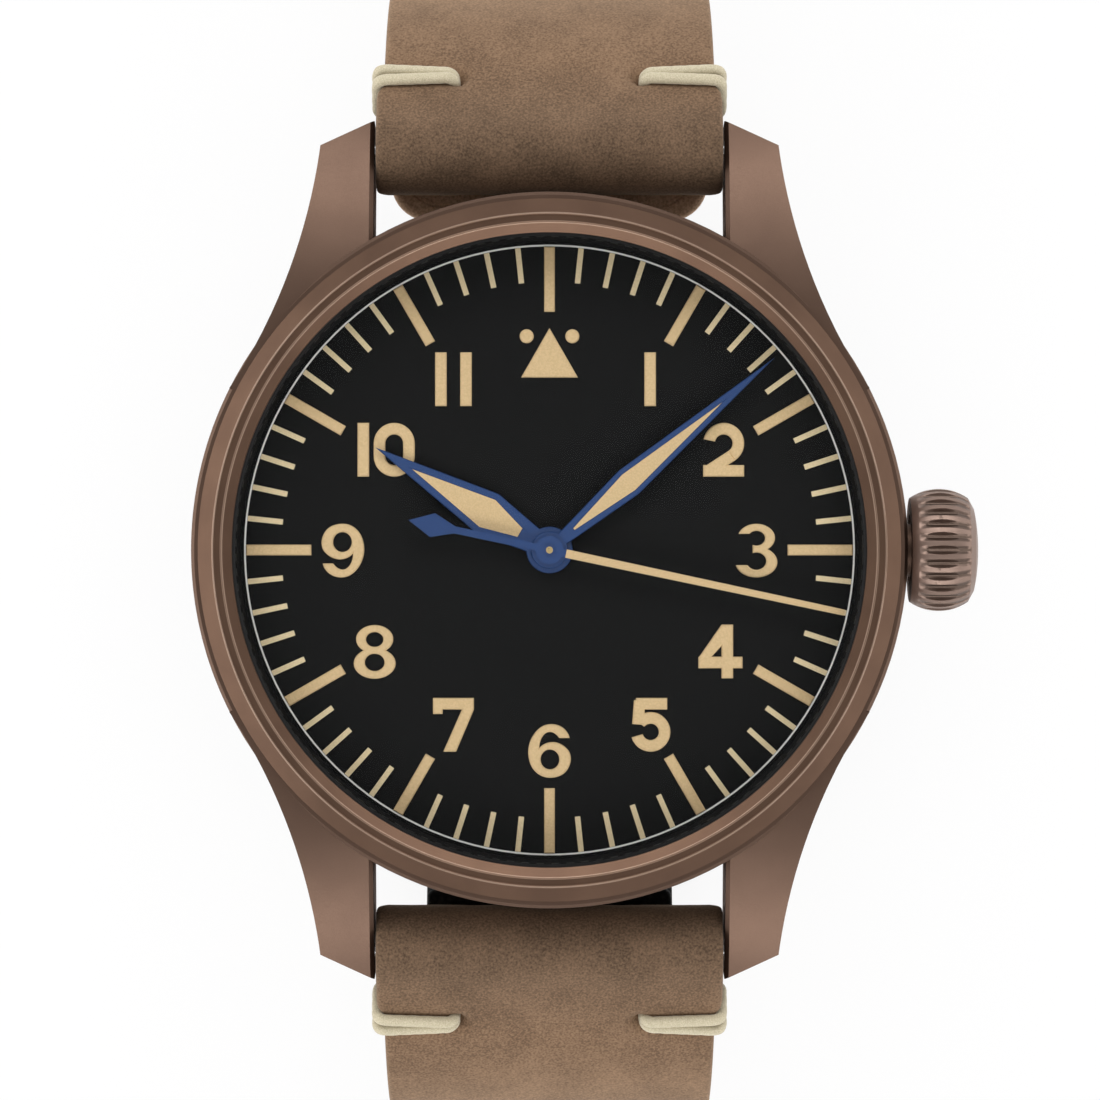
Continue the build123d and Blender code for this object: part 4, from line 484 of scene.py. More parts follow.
@dataclass(frozen=True)
class CrystalFinish:
    """Clear glass with a faint reflection and no bend of light."""

    name: str = "crystal_glass"
    reflecting_ior: float = 1.12
    roughness: float = 0.04
    tint: Color = (0.99, 0.995, 1.0)

    def build(self) -> bpy.types.Material:
        """Makes the material.

        Returns:
            The material.
        """
        paint = Painter(self.name)
        paint.tree.nodes.remove(paint.shader)
        clear = paint.add("ShaderNodeBsdfTransparent", Color=(*self.tint, 1.0))
        gloss = paint.add("ShaderNodeBsdfGlossy", Roughness=self.roughness)
        fresnel = paint.add("ShaderNodeFresnel", IOR=self.reflecting_ior)
        paint.mix(fresnel.outputs[0], clear.outputs[0], gloss.outputs[0])
        return paint.material


@dataclass(frozen=True)
class NubuckFinish:
    """Brushed leather: short nap, light and dark specks, and painted shade: darker colours on leather nearer
    the watch's axis along y, round the roll and inwards of it.
    """

    name: str
    dark: Color
    light: Color
    # Painted shade: the next two colours are taken nearer the axis along y than the range's start, fading to
    # the open colours at its end
    painted_shade_dark: Color
    painted_shade_light: Color
    painted_shade_range: Point = (23.6, 28.2)
    nap_size: float = 0.13
    nap_share: float = 0.75
    nap_depth: float = 0.02
    patch_size: float = 2.6
    stretch: Point = (0.36, 0.64)
    roughness: float = 0.85
    specular: float = 0.2
    sheen: float = 0.35
    sheen_roughness: float = 0.45
    sheen_tint: Color = (0.85, 0.66, 0.48)

    def build(self) -> bpy.types.Material:
        """Makes the material.

        Returns:
            The material.
        """
        paint = Painter(
            self.name,
            Roughness=self.roughness,
            Specular_IOR_Level=self.specular,
            Sheen_Weight=self.sheen,
            Sheen_Roughness=self.sheen_roughness,
            Sheen_Tint=(*self.sheen_tint, 1.0),
        )
        nap = paint.speckle(self.nap_size, detail=4.0)
        patches = paint.speckle(self.patch_size, detail=2.0)
        shares = (
            paint.combine("MULTIPLY", nap, self.nap_share),
            paint.combine("MULTIPLY", patches, 1 - self.nap_share),
        )
        share = paint.spread(paint.combine("ADD", *shares), self.stretch, RISE)
        # Painted shade: darker copies of the speckled colour, used nearer the axis along y
        painted_shade_color = paint.tint(share, self.painted_shade_dark, self.painted_shade_light)
        open_color = paint.tint(share, self.dark, self.light)
        low, high = (limit * MM for limit in self.painted_shade_range)
        unshaded_share = paint.spread(paint.along_strap(), (low, high), RISE)
        paint.color(paint.tint(unshaded_share, painted_shade_color, open_color))
        paint.relief(nap, self.nap_depth)
        return paint.material


@dataclass(frozen=True)
class PebbleFinish:
    """Black lining with a coarse pebbled grain."""

    name: str
    dark: Color
    light: Color
    cell_size: float = 0.38
    stretch: Point = (0.1, 0.6)
    depth: float = 0.05
    roughness: float = 0.65
    specular: float = 0.12

    def build(self) -> bpy.types.Material:
        """Makes the material.

        Returns:
            The material.
        """
        paint = Painter(self.name, Roughness=self.roughness, Specular_IOR_Level=self.specular)
        share = paint.spread(paint.cells(self.cell_size), self.stretch, FALL)
        paint.color(paint.tint(share, self.dark, self.light))
        paint.relief(share, self.depth)
        return paint.material


@dataclass(frozen=True)
class FibreFinish:
    """Waxed linen thread or a cut leather edge: soft, matte and a little fuzzy."""

    name: str
    dark: Color
    light: Color
    fibre_size: float = 0.07
    sheen: float = 0.2
    depth: float = 0.015
    roughness: float = 0.8
    specular: float = 0.25

    def build(self) -> bpy.types.Material:
        """Makes the material.

        Returns:
            The material.
        """
        paint = Painter(
            self.name, Roughness=self.roughness, Specular_IOR_Level=self.specular, Sheen_Weight=self.sheen
        )
        fibres = paint.speckle(self.fibre_size, detail=4.0)
        paint.color(paint.blend(fibres, self.dark, self.light))
        paint.relief(fibres, self.depth)
        return paint.material


Finish = MetalFinish | RibbedFinish | PaintFinish | CrystalFinish | NubuckFinish | PebbleFinish | FibreFinish

FINISHES: dict[Slot, Finish] = {
    Slot.CASE: MetalFinish("bronze_case", (0.132, 0.083, 0.061), (0.145, 0.0915, 0.067), (0.42, 0.5)),
    Slot.BEZEL: MetalFinish(
        "bronze_bezel",
        (0.112, 0.066, 0.045),
        (0.130, 0.077, 0.052),
        (0.38, 0.46),
        Grain.TURNED,
        0.035,
        0.001,
        # The two rings are painted highlights on the bezel's ridges
        painted_highlight_radii=(18.99, 18.52),
    ),
    # The crown's colours are painted light and shade: darker grooves, ribs paler than the case's bronze
    Slot.CROWN: RibbedFinish("bronze_crown_painted_light_and_shade", (0.133, 0.095, 0.076), (0.264, 0.186, 0.152)),
    Slot.CRYSTAL: CrystalFinish(),
    Slot.GASKET: PaintFinish("black_rubber", (0.010, 0.010, 0.010), (0.018, 0.018, 0.018), (0.7, 0.8)),
    Slot.FLANGE: PaintFinish("black_flange", (0.008, 0.008, 0.008), (0.011, 0.011, 0.011), (0.6, 0.7), 0.1),
    Slot.DIAL: PaintFinish(
        "dial_black", (0.0068, 0.0068, 0.0066), (0.0086, 0.0086, 0.0084), (0.7, 0.8), 0.05
    ),
    Slot.PRINT: PaintFinish("dial_print_cream", (0.80, 0.68, 0.46), (0.88, 0.76, 0.54), (0.6, 0.7), 0.2),
    Slot.LUME: PaintFinish(
        "sand_lume",
        (0.60, 0.425, 0.22),
        (0.68, 0.49, 0.265),
        (0.7, 0.85),
        0.2,
        speckle_size=0.1,
        speckle_depth=0.006,
    ),
    Slot.HANDS: PaintFinish(
        "blued_hands",
        (0.013, 0.046, 0.158),
        (0.018, 0.058, 0.185),
        (0.28, 0.36),
        0.5,
        coat=0.2,
        metallic=0.2,
    ),
    Slot.PLATE: MetalFinish("nickel_plate", (0.62, 0.60, 0.56), (0.70, 0.68, 0.64), (0.3, 0.4)),
    Slot.BRASS: MetalFinish("movement_brass", (0.66, 0.48, 0.22), (0.74, 0.55, 0.27), (0.25, 0.35)),
    Slot.WHEEL: MetalFinish("polished_steel", (0.55, 0.55, 0.56), (0.62, 0.62, 0.63), (0.15, 0.25)),
    Slot.JEWEL: PaintFinish("jewel_red", (0.38, 0.02, 0.06), (0.5, 0.03, 0.09), (0.08, 0.12), 0.6),
    Slot.SCREW: MetalFinish("blued_screws", (0.10, 0.15, 0.33), (0.14, 0.2, 0.4), (0.2, 0.3)),
    Slot.LEATHER: NubuckFinish(
        "brown_nubuck",
        (0.107, 0.062, 0.035),
        (0.245, 0.151, 0.089),
        # Painted shade: darker copies of the two colours above, for leather nearer the axis along y
        (0.070, 0.043, 0.025),
        (0.168, 0.104, 0.063),
    ),
    Slot.LINING: PebbleFinish("black_lining", (0.004, 0.004, 0.004), (0.02, 0.019, 0.018)),
    Slot.THREAD: FibreFinish("cream_thread", (0.42, 0.365, 0.25), (0.58, 0.52, 0.375)),
}
# The flap has the same colours with or without the leather's painted shade, because it hangs where that
# shade lies; both are painted much paler than the strap, as painted light against the shade under the case
FLAP_PAINTED_LIGHT_FINISH = NubuckFinish(
    "flap_nubuck_painted_light", (0.36, 0.225, 0.138), (0.62, 0.41, 0.27), (0.36, 0.225, 0.138), (0.62, 0.41, 0.27)
)
# Markings whose colour departs from their slot's
MARKING_FINISHES = {
    "minute_circle": PaintFinish(
        "dial_print_white", (0.82, 0.80, 0.74), (0.90, 0.88, 0.82), (0.6, 0.7), 0.2
    ),
    "minute_ticks": PaintFinish("pale_lume", (0.70, 0.56, 0.33), (0.79, 0.64, 0.39), (0.7, 0.85), 0.2),
}
EDGE_FINISH = FibreFinish("burnished_edge", (0.07, 0.038, 0.024), (0.12, 0.068, 0.043), 0.12, 0.1)


@dataclass
class Workshop:
    """Makes each finish once and hands it out."""

    made: dict[str, bpy.types.Material] = field(default_factory=dict)

    def finish(self, finish: Finish) -> bpy.types.Material:
        """Looks a finish up.

        Args:
            finish: the finish.

        Returns:
            Its material, made at its first use.
        """
        if finish.name not in self.made:
            self.made[finish.name] = finish.build()
        return self.made[finish.name]


@dataclass
class RigidParts:
    """The CAD nodes that stay: each gets the finish of its slot."""

    nodes: dict[str, bpy.types.Object]
    workshop: Workshop

    def dress(self) -> None:
        """Puts the finishes on all nodes."""
        for name, obj in sorted(self.nodes.items()):
            slot = Slot(obj.data.materials[0].name.split(".")[0])
            finish = MARKING_FINISHES.get(name, FINISHES[slot])
            obj.data.materials.clear()
            obj.data.materials.append(self.workshop.finish(finish))
            log.info("node %s: %s", name, slot.value)


def hand_over(obj: bpy.types.Object, node: str, slot: Slot, body: str) -> None:
    """Gives a finished piece to the frame.

    Args:
        obj: the piece.
        node: the CAD node that it replaces.
        slot: its material slot; not used.
        body: the body on which it rides.
    """
    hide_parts(node)
    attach(obj, body)
    log.info("piece %s on %s", obj.name, body)


def toward(degrees: float) -> Vector:
    """The unit vector at an angle, as (along y, along z)."""
    turn = math.radians(degrees)
    return Vector((math.cos(turn), math.sin(turn)))


def smooth_step(value: float, low: float, high: float) -> float:
    """A soft step.

    Args:
        value: the number.
        low: where the step starts.
        high: where it ends.

    Returns:
        0 up to low, 1 from high on, and a soft curve between them.
    """
    share = min(1.0, max(0.0, (value - low) / (high - low)))
    return share * share * (3 - 2 * share)


def rounded_section(half: float, depth: float, radius: float, across: int, corner: int) -> list[Point]:
    """Outline of a rectangle with rounded corners, the same number of points for every size.

    Args:
        half: half of its width.
        depth: its depth, from 0 outwards.
        radius: the corners' radius.
        across: how many points each long side has.
        corner: how many steps each corner has.

    Returns:
        The points as (sideways, outwards), outer face first.
    """
    flat = half - radius
    bends = []
    for x, z, start, first, last in (
        (flat, depth - radius, 90, 1, corner),
        (flat, radius, 0, 0, corner),
        (-flat, radius, 270, 1, corner),
        (-flat, depth - radius, 180, 0, corner - 1),
    ):
        turns = [math.radians(start - 90 * index / corner) for index in range(first, last + 1)]
        bends.append([(x + radius * math.cos(turn), z + radius * math.sin(turn)) for turn in turns])
    steps = [2 * flat * index / (across - 1) for index in range(across)]
    outer = [(step - flat, depth) for step in steps]
    inner = [(flat - step, 0.0) for step in steps[1:]]
    return [*outer, *bends[0], *bends[1], *inner, *bends[2], *bends[3]]


def link_mesh(
    name: str, bm: bmesh.types.BMesh, materials: list[bpy.types.Material], crease: float = CREASE
) -> bpy.types.Object:
    """Turns millimetre geometry into an object in metres.

    Args:
        name: the piece's name.
        bm: its geometry, freed here.
        materials: its materials by index.
        crease: the angle in degrees above which an edge stays sharp.

    Returns:
        The new object.
    """
    bmesh.ops.recalc_face_normals(bm, faces=bm.faces)
    bmesh.ops.scale(bm, vec=(MM, MM, MM), verts=bm.verts)
    mesh = bpy.data.meshes.new(name)
    bm.to_mesh(mesh)
    bm.free()
    for material in materials:
        mesh.materials.append(material)
    mesh.polygons.foreach_set("use_smooth", [True] * len(mesh.polygons))
    mesh.set_sharp_from_angle(angle=math.radians(crease))
    obj = bpy.data.objects.new(name, mesh)
    bpy.context.scene.collection.objects.link(obj)
    return obj


def skin(
    bm: bmesh.types.BMesh,
    rings: list[list[Vector]],
    closed: bool = False,
    face: int = 0,
    rim: int = 0,
    side_faces: frozenset[int] = frozenset(),
) -> None:
    """Joins rings of points into one closed band.

    Args:
        bm: where the faces go.
        rings: the rings, all with the same number of points.
        closed: whether the last ring joins the first, otherwise both ends get a cap.
        face: the material index of the band.
        rim: the material index of cut edges and caps.
        side_faces: places in the ring whose faces are the band's cut edges.
    """
    rows = [[bm.verts.new(point) for point in ring] for ring in rings]
    count = len(rows[0])
    pairs = list(zip(rows, rows[1:])) + ([(rows[-1], rows[0])] if closed else [])
    for near, far in pairs:
        for index in range(count):
            after = (index + 1) % count
            side = bm.faces.new((near[index], near[after], far[after], far[index]))
            side.material_index = rim if index in side_faces else face
    if not closed:
        for row in (rows[0], rows[-1]):
            bm.faces.new(row).material_index = rim


def prism(bm: bmesh.types.BMesh, outline: list[Vector], sweep: Vector) -> None:
    """Adds a closed prism to a mesh.

    Args:
        bm: the mesh.
        outline: its first face.
        sweep: the way from the first face to the second.
    """
    skin(bm, [outline, [point + sweep for point in outline]])


def cut(obj: bpy.types.Object, tool: bpy.types.Object) -> None:
    """Takes a tool's volume out of an object.

    Args:
        obj: the object.
        tool: the tool, deleted here.
    """
    modifier = obj.modifiers.new("cut", "BOOLEAN")
    modifier.operation = "DIFFERENCE"
    modifier.solver = "EXACT"
    modifier.object = tool
    graph = bpy.context.evaluated_depsgraph_get()
    mesh = bpy.data.meshes.new_from_object(obj.evaluated_get(graph))
    obj.modifiers.remove(modifier)
    obj.data = mesh
    mesh.set_sharp_from_angle(angle=math.radians(CREASE))
    bpy.data.objects.remove(tool)


@dataclass(frozen=True)
class Station:
    """One cross-section of a band of leather."""

    foot: Vector
    out: Vector
    depth: float
    reach: float
    inset: float


@dataclass
class Route:
    """The inner line of a band in the YZ plane, walked run by run."""

    place: Vector
    heading: float
    step: float = 0.4
    step_turn: float = 5.0
    reach: float = 0.0
    points: list[tuple[Vector, float, float]] = field(default_factory=list)

    def __post_init__(self) -> None:
        """Keeps the start as the first point."""
        self.keep()

    def keep(self) -> None:
        """Adds the present place to the points."""
        self.points.append((self.place.copy(), self.heading, self.reach))

    def straight(self, length: float) -> None:
        """Walks straight on.

        Args:
            length: how far.
        """
        pieces = max(1, math.ceil(length / self.step))
        for _ in range(pieces):
            self.place = self.place + toward(self.heading) * (length / pieces)
            self.reach += length / pieces
            self.keep()

    def arc(self, radius: float, turn: float) -> None:
        """Walks round to the right.

        Args:
            radius: the arc's radius.
            turn: the angle walked, in degrees.
        """
        length = radius * math.radians(turn)
        pieces = max(1, math.ceil(turn / self.step_turn), math.ceil(length / self.step))
        centre = self.place + toward(self.heading - 90) * radius
        for _ in range(pieces):
            self.heading -= turn / pieces
            self.place = centre + toward(self.heading + 90) * radius
            self.reach += length / pieces
            self.keep()


@dataclass(frozen=True)
class Taper:
    """The strap's half width by height, as seen from above and below."""

    levels: tuple[Point, ...] = ((3.4, 9.95), (2.95, 9.55), (-4.5, 9.42), (-32.0, 8.0))

    def half(self, level: float) -> float:
        """Half of the strap's width.

        Args:
            level: the height at which it is asked for.

        Returns:
            The half width there.
        """
        if level >= self.levels[0][0]:
            return self.levels[0][1]
        for (high, wide), (low, narrow) in zip(self.levels, self.levels[1:]):
            if level >= low:
                return narrow + (wide - narrow) * (level - low) / (high - low)
        return self.levels[-1][1]


@dataclass
class StrapHalf:
    """One half of the strap: its outer leather and its lining, walked out from the spring bar."""

    side: Side
    bar_y: float = 23.0
    bar_level: float = 3.0
    bar_way: float = 1.05
    outer_depth: float = 1.5
    skived_depth: float = 0.85
    skived_share: float = 0.22
    lining_depth: float = 0.9
    slope: float = 40.0
    leave: float = 4.6
    shoulder_radius: float = 15.0
    lining_start: float = 2.8
    wrap_turn: float = 290.0
    edge_radius: float = 0.32
    lining_radius: float = 0.25
    corner_share: float = 0.45
    case_clear_radius: float = 20.6
    case_clear_levels: Point = (1.2, 4.8)
    nap_waves: tuple[Point, ...] = ((0.035, 0.35), (0.012, 1.3))
    stitch_reach: float = 3.4
    stitch_x: float = 5.5
    dent_depth: float = 0.14
    dent_width: float = 0.75
    dent_rise: float = 0.3
    hole_shift: float = 0.35
    hole_depth: float = 0.75
    hole_spread: float = 0.16
    taper: Taper = Taper()
    across: int = 81
    corner: int = 5
    edge_faces: int = 3

    def seam_start(self) -> Vector:
        """Where the inner face of the outer leather leaves the spring bar.

        Returns:
            The place as (y, z).
        """
        slope = math.radians(self.slope)
        y = self.bar_y + self.bar_way * math.sin(slope)
        return Vector((y, self.bar_level + self.bar_way * math.cos(slope)))

    def wrap_length(self) -> float:
        """Length of the roll round the spring bar."""
        return math.radians(self.wrap_turn) * self.bar_way

    def lay(self, route: Route, outer: bool) -> None:
        """Walks the runs after the shoulder; each half has its own.

        Args:
            route: the route walked so far.
            outer: whether it is the outer leather's.
        """
        raise NotImplementedError

    def end_inset(self, left: float) -> float:
        """How much narrower the band is at a distance from its end."""
        return 0.0

    def outer_depth_at(self, reach: float, total: float) -> Point:
        """Depth of the outer leather and how far its inner face is moved outwards.

        Args:
            reach: the distance along the band.
            total: the band's whole length.

        Returns:
            The depth and the move.
        """
        skived = smooth_step(reach, 0.0, self.wrap_length() * self.skived_share)
        return self.skived_depth + (self.outer_depth - self.skived_depth) * skived, 0.0

    def stations(self, outer: bool) -> list[Station]:
        """Cross-sections of one layer.

        Args:
            outer: whether it is the outer leather, rolled round the bar, or the lining.

        Returns:
            The cross-sections, from the end at the case.
        """
        if outer:
            heading = self.wrap_turn - self.slope
            bar = Vector((self.bar_y, self.bar_level))
            route = Route(bar + toward(heading + 90) * self.bar_way, heading)
            route.arc(self.bar_way, self.wrap_turn)
            route.straight(self.leave)
            shift = -self.wrap_length()
        else:
            route = Route(self.seam_start() + toward(-self.slope) * self.lining_start, -self.slope)
            route.straight(self.leave - self.lining_start)
            shift = self.lining_start
        route.arc(self.shoulder_radius, 90 - self.slope)
        self.lay(route, outer)
        total = route.points[-1][2]
        stations = []
        for point, heading, reach in route.points:
            out = toward(heading + 90)
            depth, move = self.lining_depth, -self.lining_depth
            if outer:
                depth, move = self.outer_depth_at(reach, total)
            inset = self.end_inset(total - reach)
            stations.append(Station(point + out * move, out, depth, reach + shift, inset))
        return stations

    def soften(self, place: Vector, reach: float, sideways: float, outer: float) -> float:
        """How far a point of the outer face moves outwards: nap, and dents at the stitches.

        Args:
            place: the point.
            reach: its distance from the spring bar's seam.
            sideways: its distance from the strap's middle.
            outer: 1 on the outer face, 0 on the inner one.

        Returns:
            The move in millimetres, negative for a dent.
        """
        wave = 0.0
        for depth, pitch in self.nap_waves:
            wave += depth * noise.noise(place * pitch)
        along = (reach - self.stitch_reach) / self.dent_width
        under_thread = smooth_step(sideways, self.stitch_x - self.hole_shift, self.stitch_x + self.dent_rise)
        dent = self.dent_depth * math.exp(-along * along) * under_thread
        away = (sideways - self.stitch_x + self.hole_shift) ** 2 + (reach - self.stitch_reach) ** 2
        hole = self.hole_depth * math.exp(-away / self.hole_spread)
        return outer * (wave - dent - hole)

    def ring(self, station: Station, outer: bool) -> list[Vector]:
        """Points of one cross-section in space.

        Args:
            station: the cross-section.
            outer: whether it is of the outer leather, which the stitches dent.

        Returns:
            The ring's points.
        """
        reference = self.taper.levels[0][1]
        radius = self.edge_radius if outer else self.lining_radius
        radius = min(radius, station.depth * self.corner_share)
        points = []
        section = rounded_section(reference, station.depth, radius, self.across, self.corner)
        for sideways, outwards in section:
            flat = station.foot + station.out * outwards
            half = self.taper.half(flat.y) - station.inset
            edge = abs(sideways) - (reference - radius)
            if edge > 0:
                x = math.copysign(half - radius + edge, sideways)
            else:
                x = sideways / (reference - radius) * (half - radius)
            place = Vector((x, flat.x, flat.y))
            if outer:
                face = smooth_step(outwards, station.depth * (1 - self.corner_share), station.depth)
                move = self.soften(place, station.reach, abs(x), face)
                place += Vector((0, station.out.x, station.out.y)) * move
            points.append(self.clear_case(place))
        return points

    def clear_case(self, place: Vector) -> Vector:
        """Keeps a point clear of the case's round side, and turns it to its own end of the case.

        Args:
            place: the point.

        Returns:
            The point where it belongs.
        """
        low, high = self.case_clear_levels
        away = math.hypot(place.x, place.y)
        if low <= place.z <= high and away < self.case_clear_radius:
            place = Vector((place.x, math.sqrt(self.case_clear_radius**2 - place.x**2), place.z))
        return Vector((place.x, place.y * self.side.value, place.z))

    def side_faces(self) -> frozenset[int]:
        """Places of the cut edges in a ring.

        Returns:
            Their indices, those of the second edge half a ring further on.
        """
        first = self.across + self.corner - 2
        half_ring = self.across + 2 * self.corner
        return frozenset(first + turn + step for turn in (0, half_ring) for step in range(self.edge_faces))


@dataclass
class ShortHalf(StrapHalf):
    """The buckle half, hung at twelve, with the flap under the case and the roll at the buckle's pin."""

    side_run: float = 8.0
    bend_radius: float = 22.0
    pin_y: float = -11.0
    pin_level: float = -40.443
    pin_way: float = 0.7
    roll_depth: float = 1.0
    roll_turn: float = 255.0
    roll_end_length: float = 0.9
    roll_end_loss: float = 0.45
    skive_length: float = 4.0
    lining_stop_y: float = -9.2
    flat_length: float = field(default=0.0, init=False)

    def lay(self, route: Route, outer: bool) -> None:
        """Walks down the side, round the bottom bend and along to the buckle.

        Args:
            route: the route walked so far.
            outer: whether it goes on round the buckle's pin.
        """
        route.straight(self.side_run)
        route.arc(self.bend_radius, 90.0)
        if not outer:
            route.straight(route.place.x - self.lining_stop_y)
            return
        route.straight(route.place.x - self.pin_y)
        self.flat_length = route.reach
        route.place = Vector((self.pin_y, self.pin_level - self.pin_way))
        route.arc(self.pin_way, self.roll_turn)

    def outer_depth_at(self, reach: float, total: float) -> Point:
        """Thins the leather towards the roll, keeping its outer face level.

        Args:
            reach: the distance along the band.
            total: the band's whole length.

        Returns:
            The depth and the outward move of the inner face.
        """
        depth, move = super().outer_depth_at(reach, total)
        if reach > self.flat_length + 1e-6:
            thinned = smooth_step(reach, total - self.roll_end_length, total)
            return self.roll_depth - self.roll_end_loss * thinned, 0.0
        share = smooth_step(reach, self.flat_length - self.skive_length, self.flat_length)
        loss = (self.outer_depth - self.roll_depth) * share
        return depth - loss, move + loss


@dataclass
class LongHalf(StrapHalf):
    """The half with the holes, hung at six, its tail laid round the outside of the short half."""

    side_run: float = 8.5
    bend_radius: float = 24.0
    flat_run: float = 19.114
    tail_radius: float = 24.5
    tail_turn: float = 60.0
    tip_radius: float = 6.5

    def lay(self, route: Route, outer: bool) -> None:
        """Walks down the side, along the bottom and up with the tail.

        Args:
            route: the route walked so far.
            outer: not used, because both layers end alike.
        """
        route.straight(self.side_run)
        route.arc(self.bend_radius, 90.0)
        route.straight(self.flat_run)
        route.arc(self.tail_radius, self.tail_turn)

    def end_inset(self, left: float) -> float:
        """Rounds the tail's end in plan.

        Args:
            left: the distance from the end.

        Returns:
            How much narrower each side is there.
        """
        if left >= self.tip_radius:
            return 0.0
        gone = self.tip_radius - left
        return self.tip_radius - math.sqrt(max(0.0, self.tip_radius**2 - gone * gone))


@dataclass(frozen=True)
class Slab:
    """A flat tongue of leather under the roll at a lug end."""

    half: float
    near_y: float
    far_y: float
    bottom: float
    top: float
    corner: float
    rim: float = 0.3
    crease_inset: float = 0.85
    crease_half: float = 0.14
    crease_depth: float = 0.12
    crease_shares: tuple[float, ...] = (-1.0, -0.35, 0.35, 1.0)
    rim_steps: int = 8
    corner_steps: int = 10

    def add(self, bm: bmesh.types.BMesh, side: Side, material: int) -> None:
        """Adds the slab to a mesh.

        Args:
            bm: the mesh.
            side: the end of the case.
            material: the index of its material.
        """
        outline = self.outline()
        rings = [[self.inward(point, *step, side) for point in outline] for step in self.steps()]
        skin(bm, rings, face=material, rim=material)

    def steps(self) -> list[Point]:
        """The way from the bottom round the rim to the pressed line on top.

        Returns:
            How far inwards and how high the outline goes, ring by ring.
        """
        middle = (self.bottom + self.top) / 2
        half_depth = (self.top - self.bottom) / 2
        halfway = self.rim_steps // 2
        steps = []
        for index in range(self.rim_steps + 1):
            turn = math.radians(-90 + 180 * index / self.rim_steps)
            sign = (index > halfway) - (index < halfway)
            level = middle + (half_depth - self.rim) * sign
            steps.append((self.rim * (1 - math.cos(turn)), level + self.rim * math.sin(turn)))
        for share in self.crease_shares:
            sunk = self.crease_depth if abs(share) < 1 else 0.0
            steps.append((self.crease_inset + share * self.crease_half, self.top - sunk))
        return steps

    def outline(self) -> list[Vector]:
        """The slab's outline in plan, round at its free end.

        Returns:
            The points as (x, y).
        """
        right = [(self.half, self.far_y)]
        for index in range(self.corner_steps + 1):
            turn = math.radians(90 * index / self.corner_steps)
            x = self.half - self.corner + self.corner * math.cos(turn)
            right.append((x, self.near_y + self.corner - self.corner * math.sin(turn)))
        left = [(-x, y) for x, y in reversed(right)]
        return [Vector(point) for point in right + left]

    def inward(self, point: Vector, inset: float, level: float, side: Side) -> Vector:
        """A point of the outline moved inwards and set at a level.

        Args:
            point: the point in plan.
            inset: how far it moves in each direction.
            level: its height.
            side: the end of the case.

        Returns:
            The point in space.
        """
        centre = Vector((0.0, (self.near_y + self.far_y) / 2))
        x, y = (away - math.copysign(min(inset, abs(away)), away) for away in point - centre)
        return Vector((centre.x + x, (centre.y + y) * side.value, level))


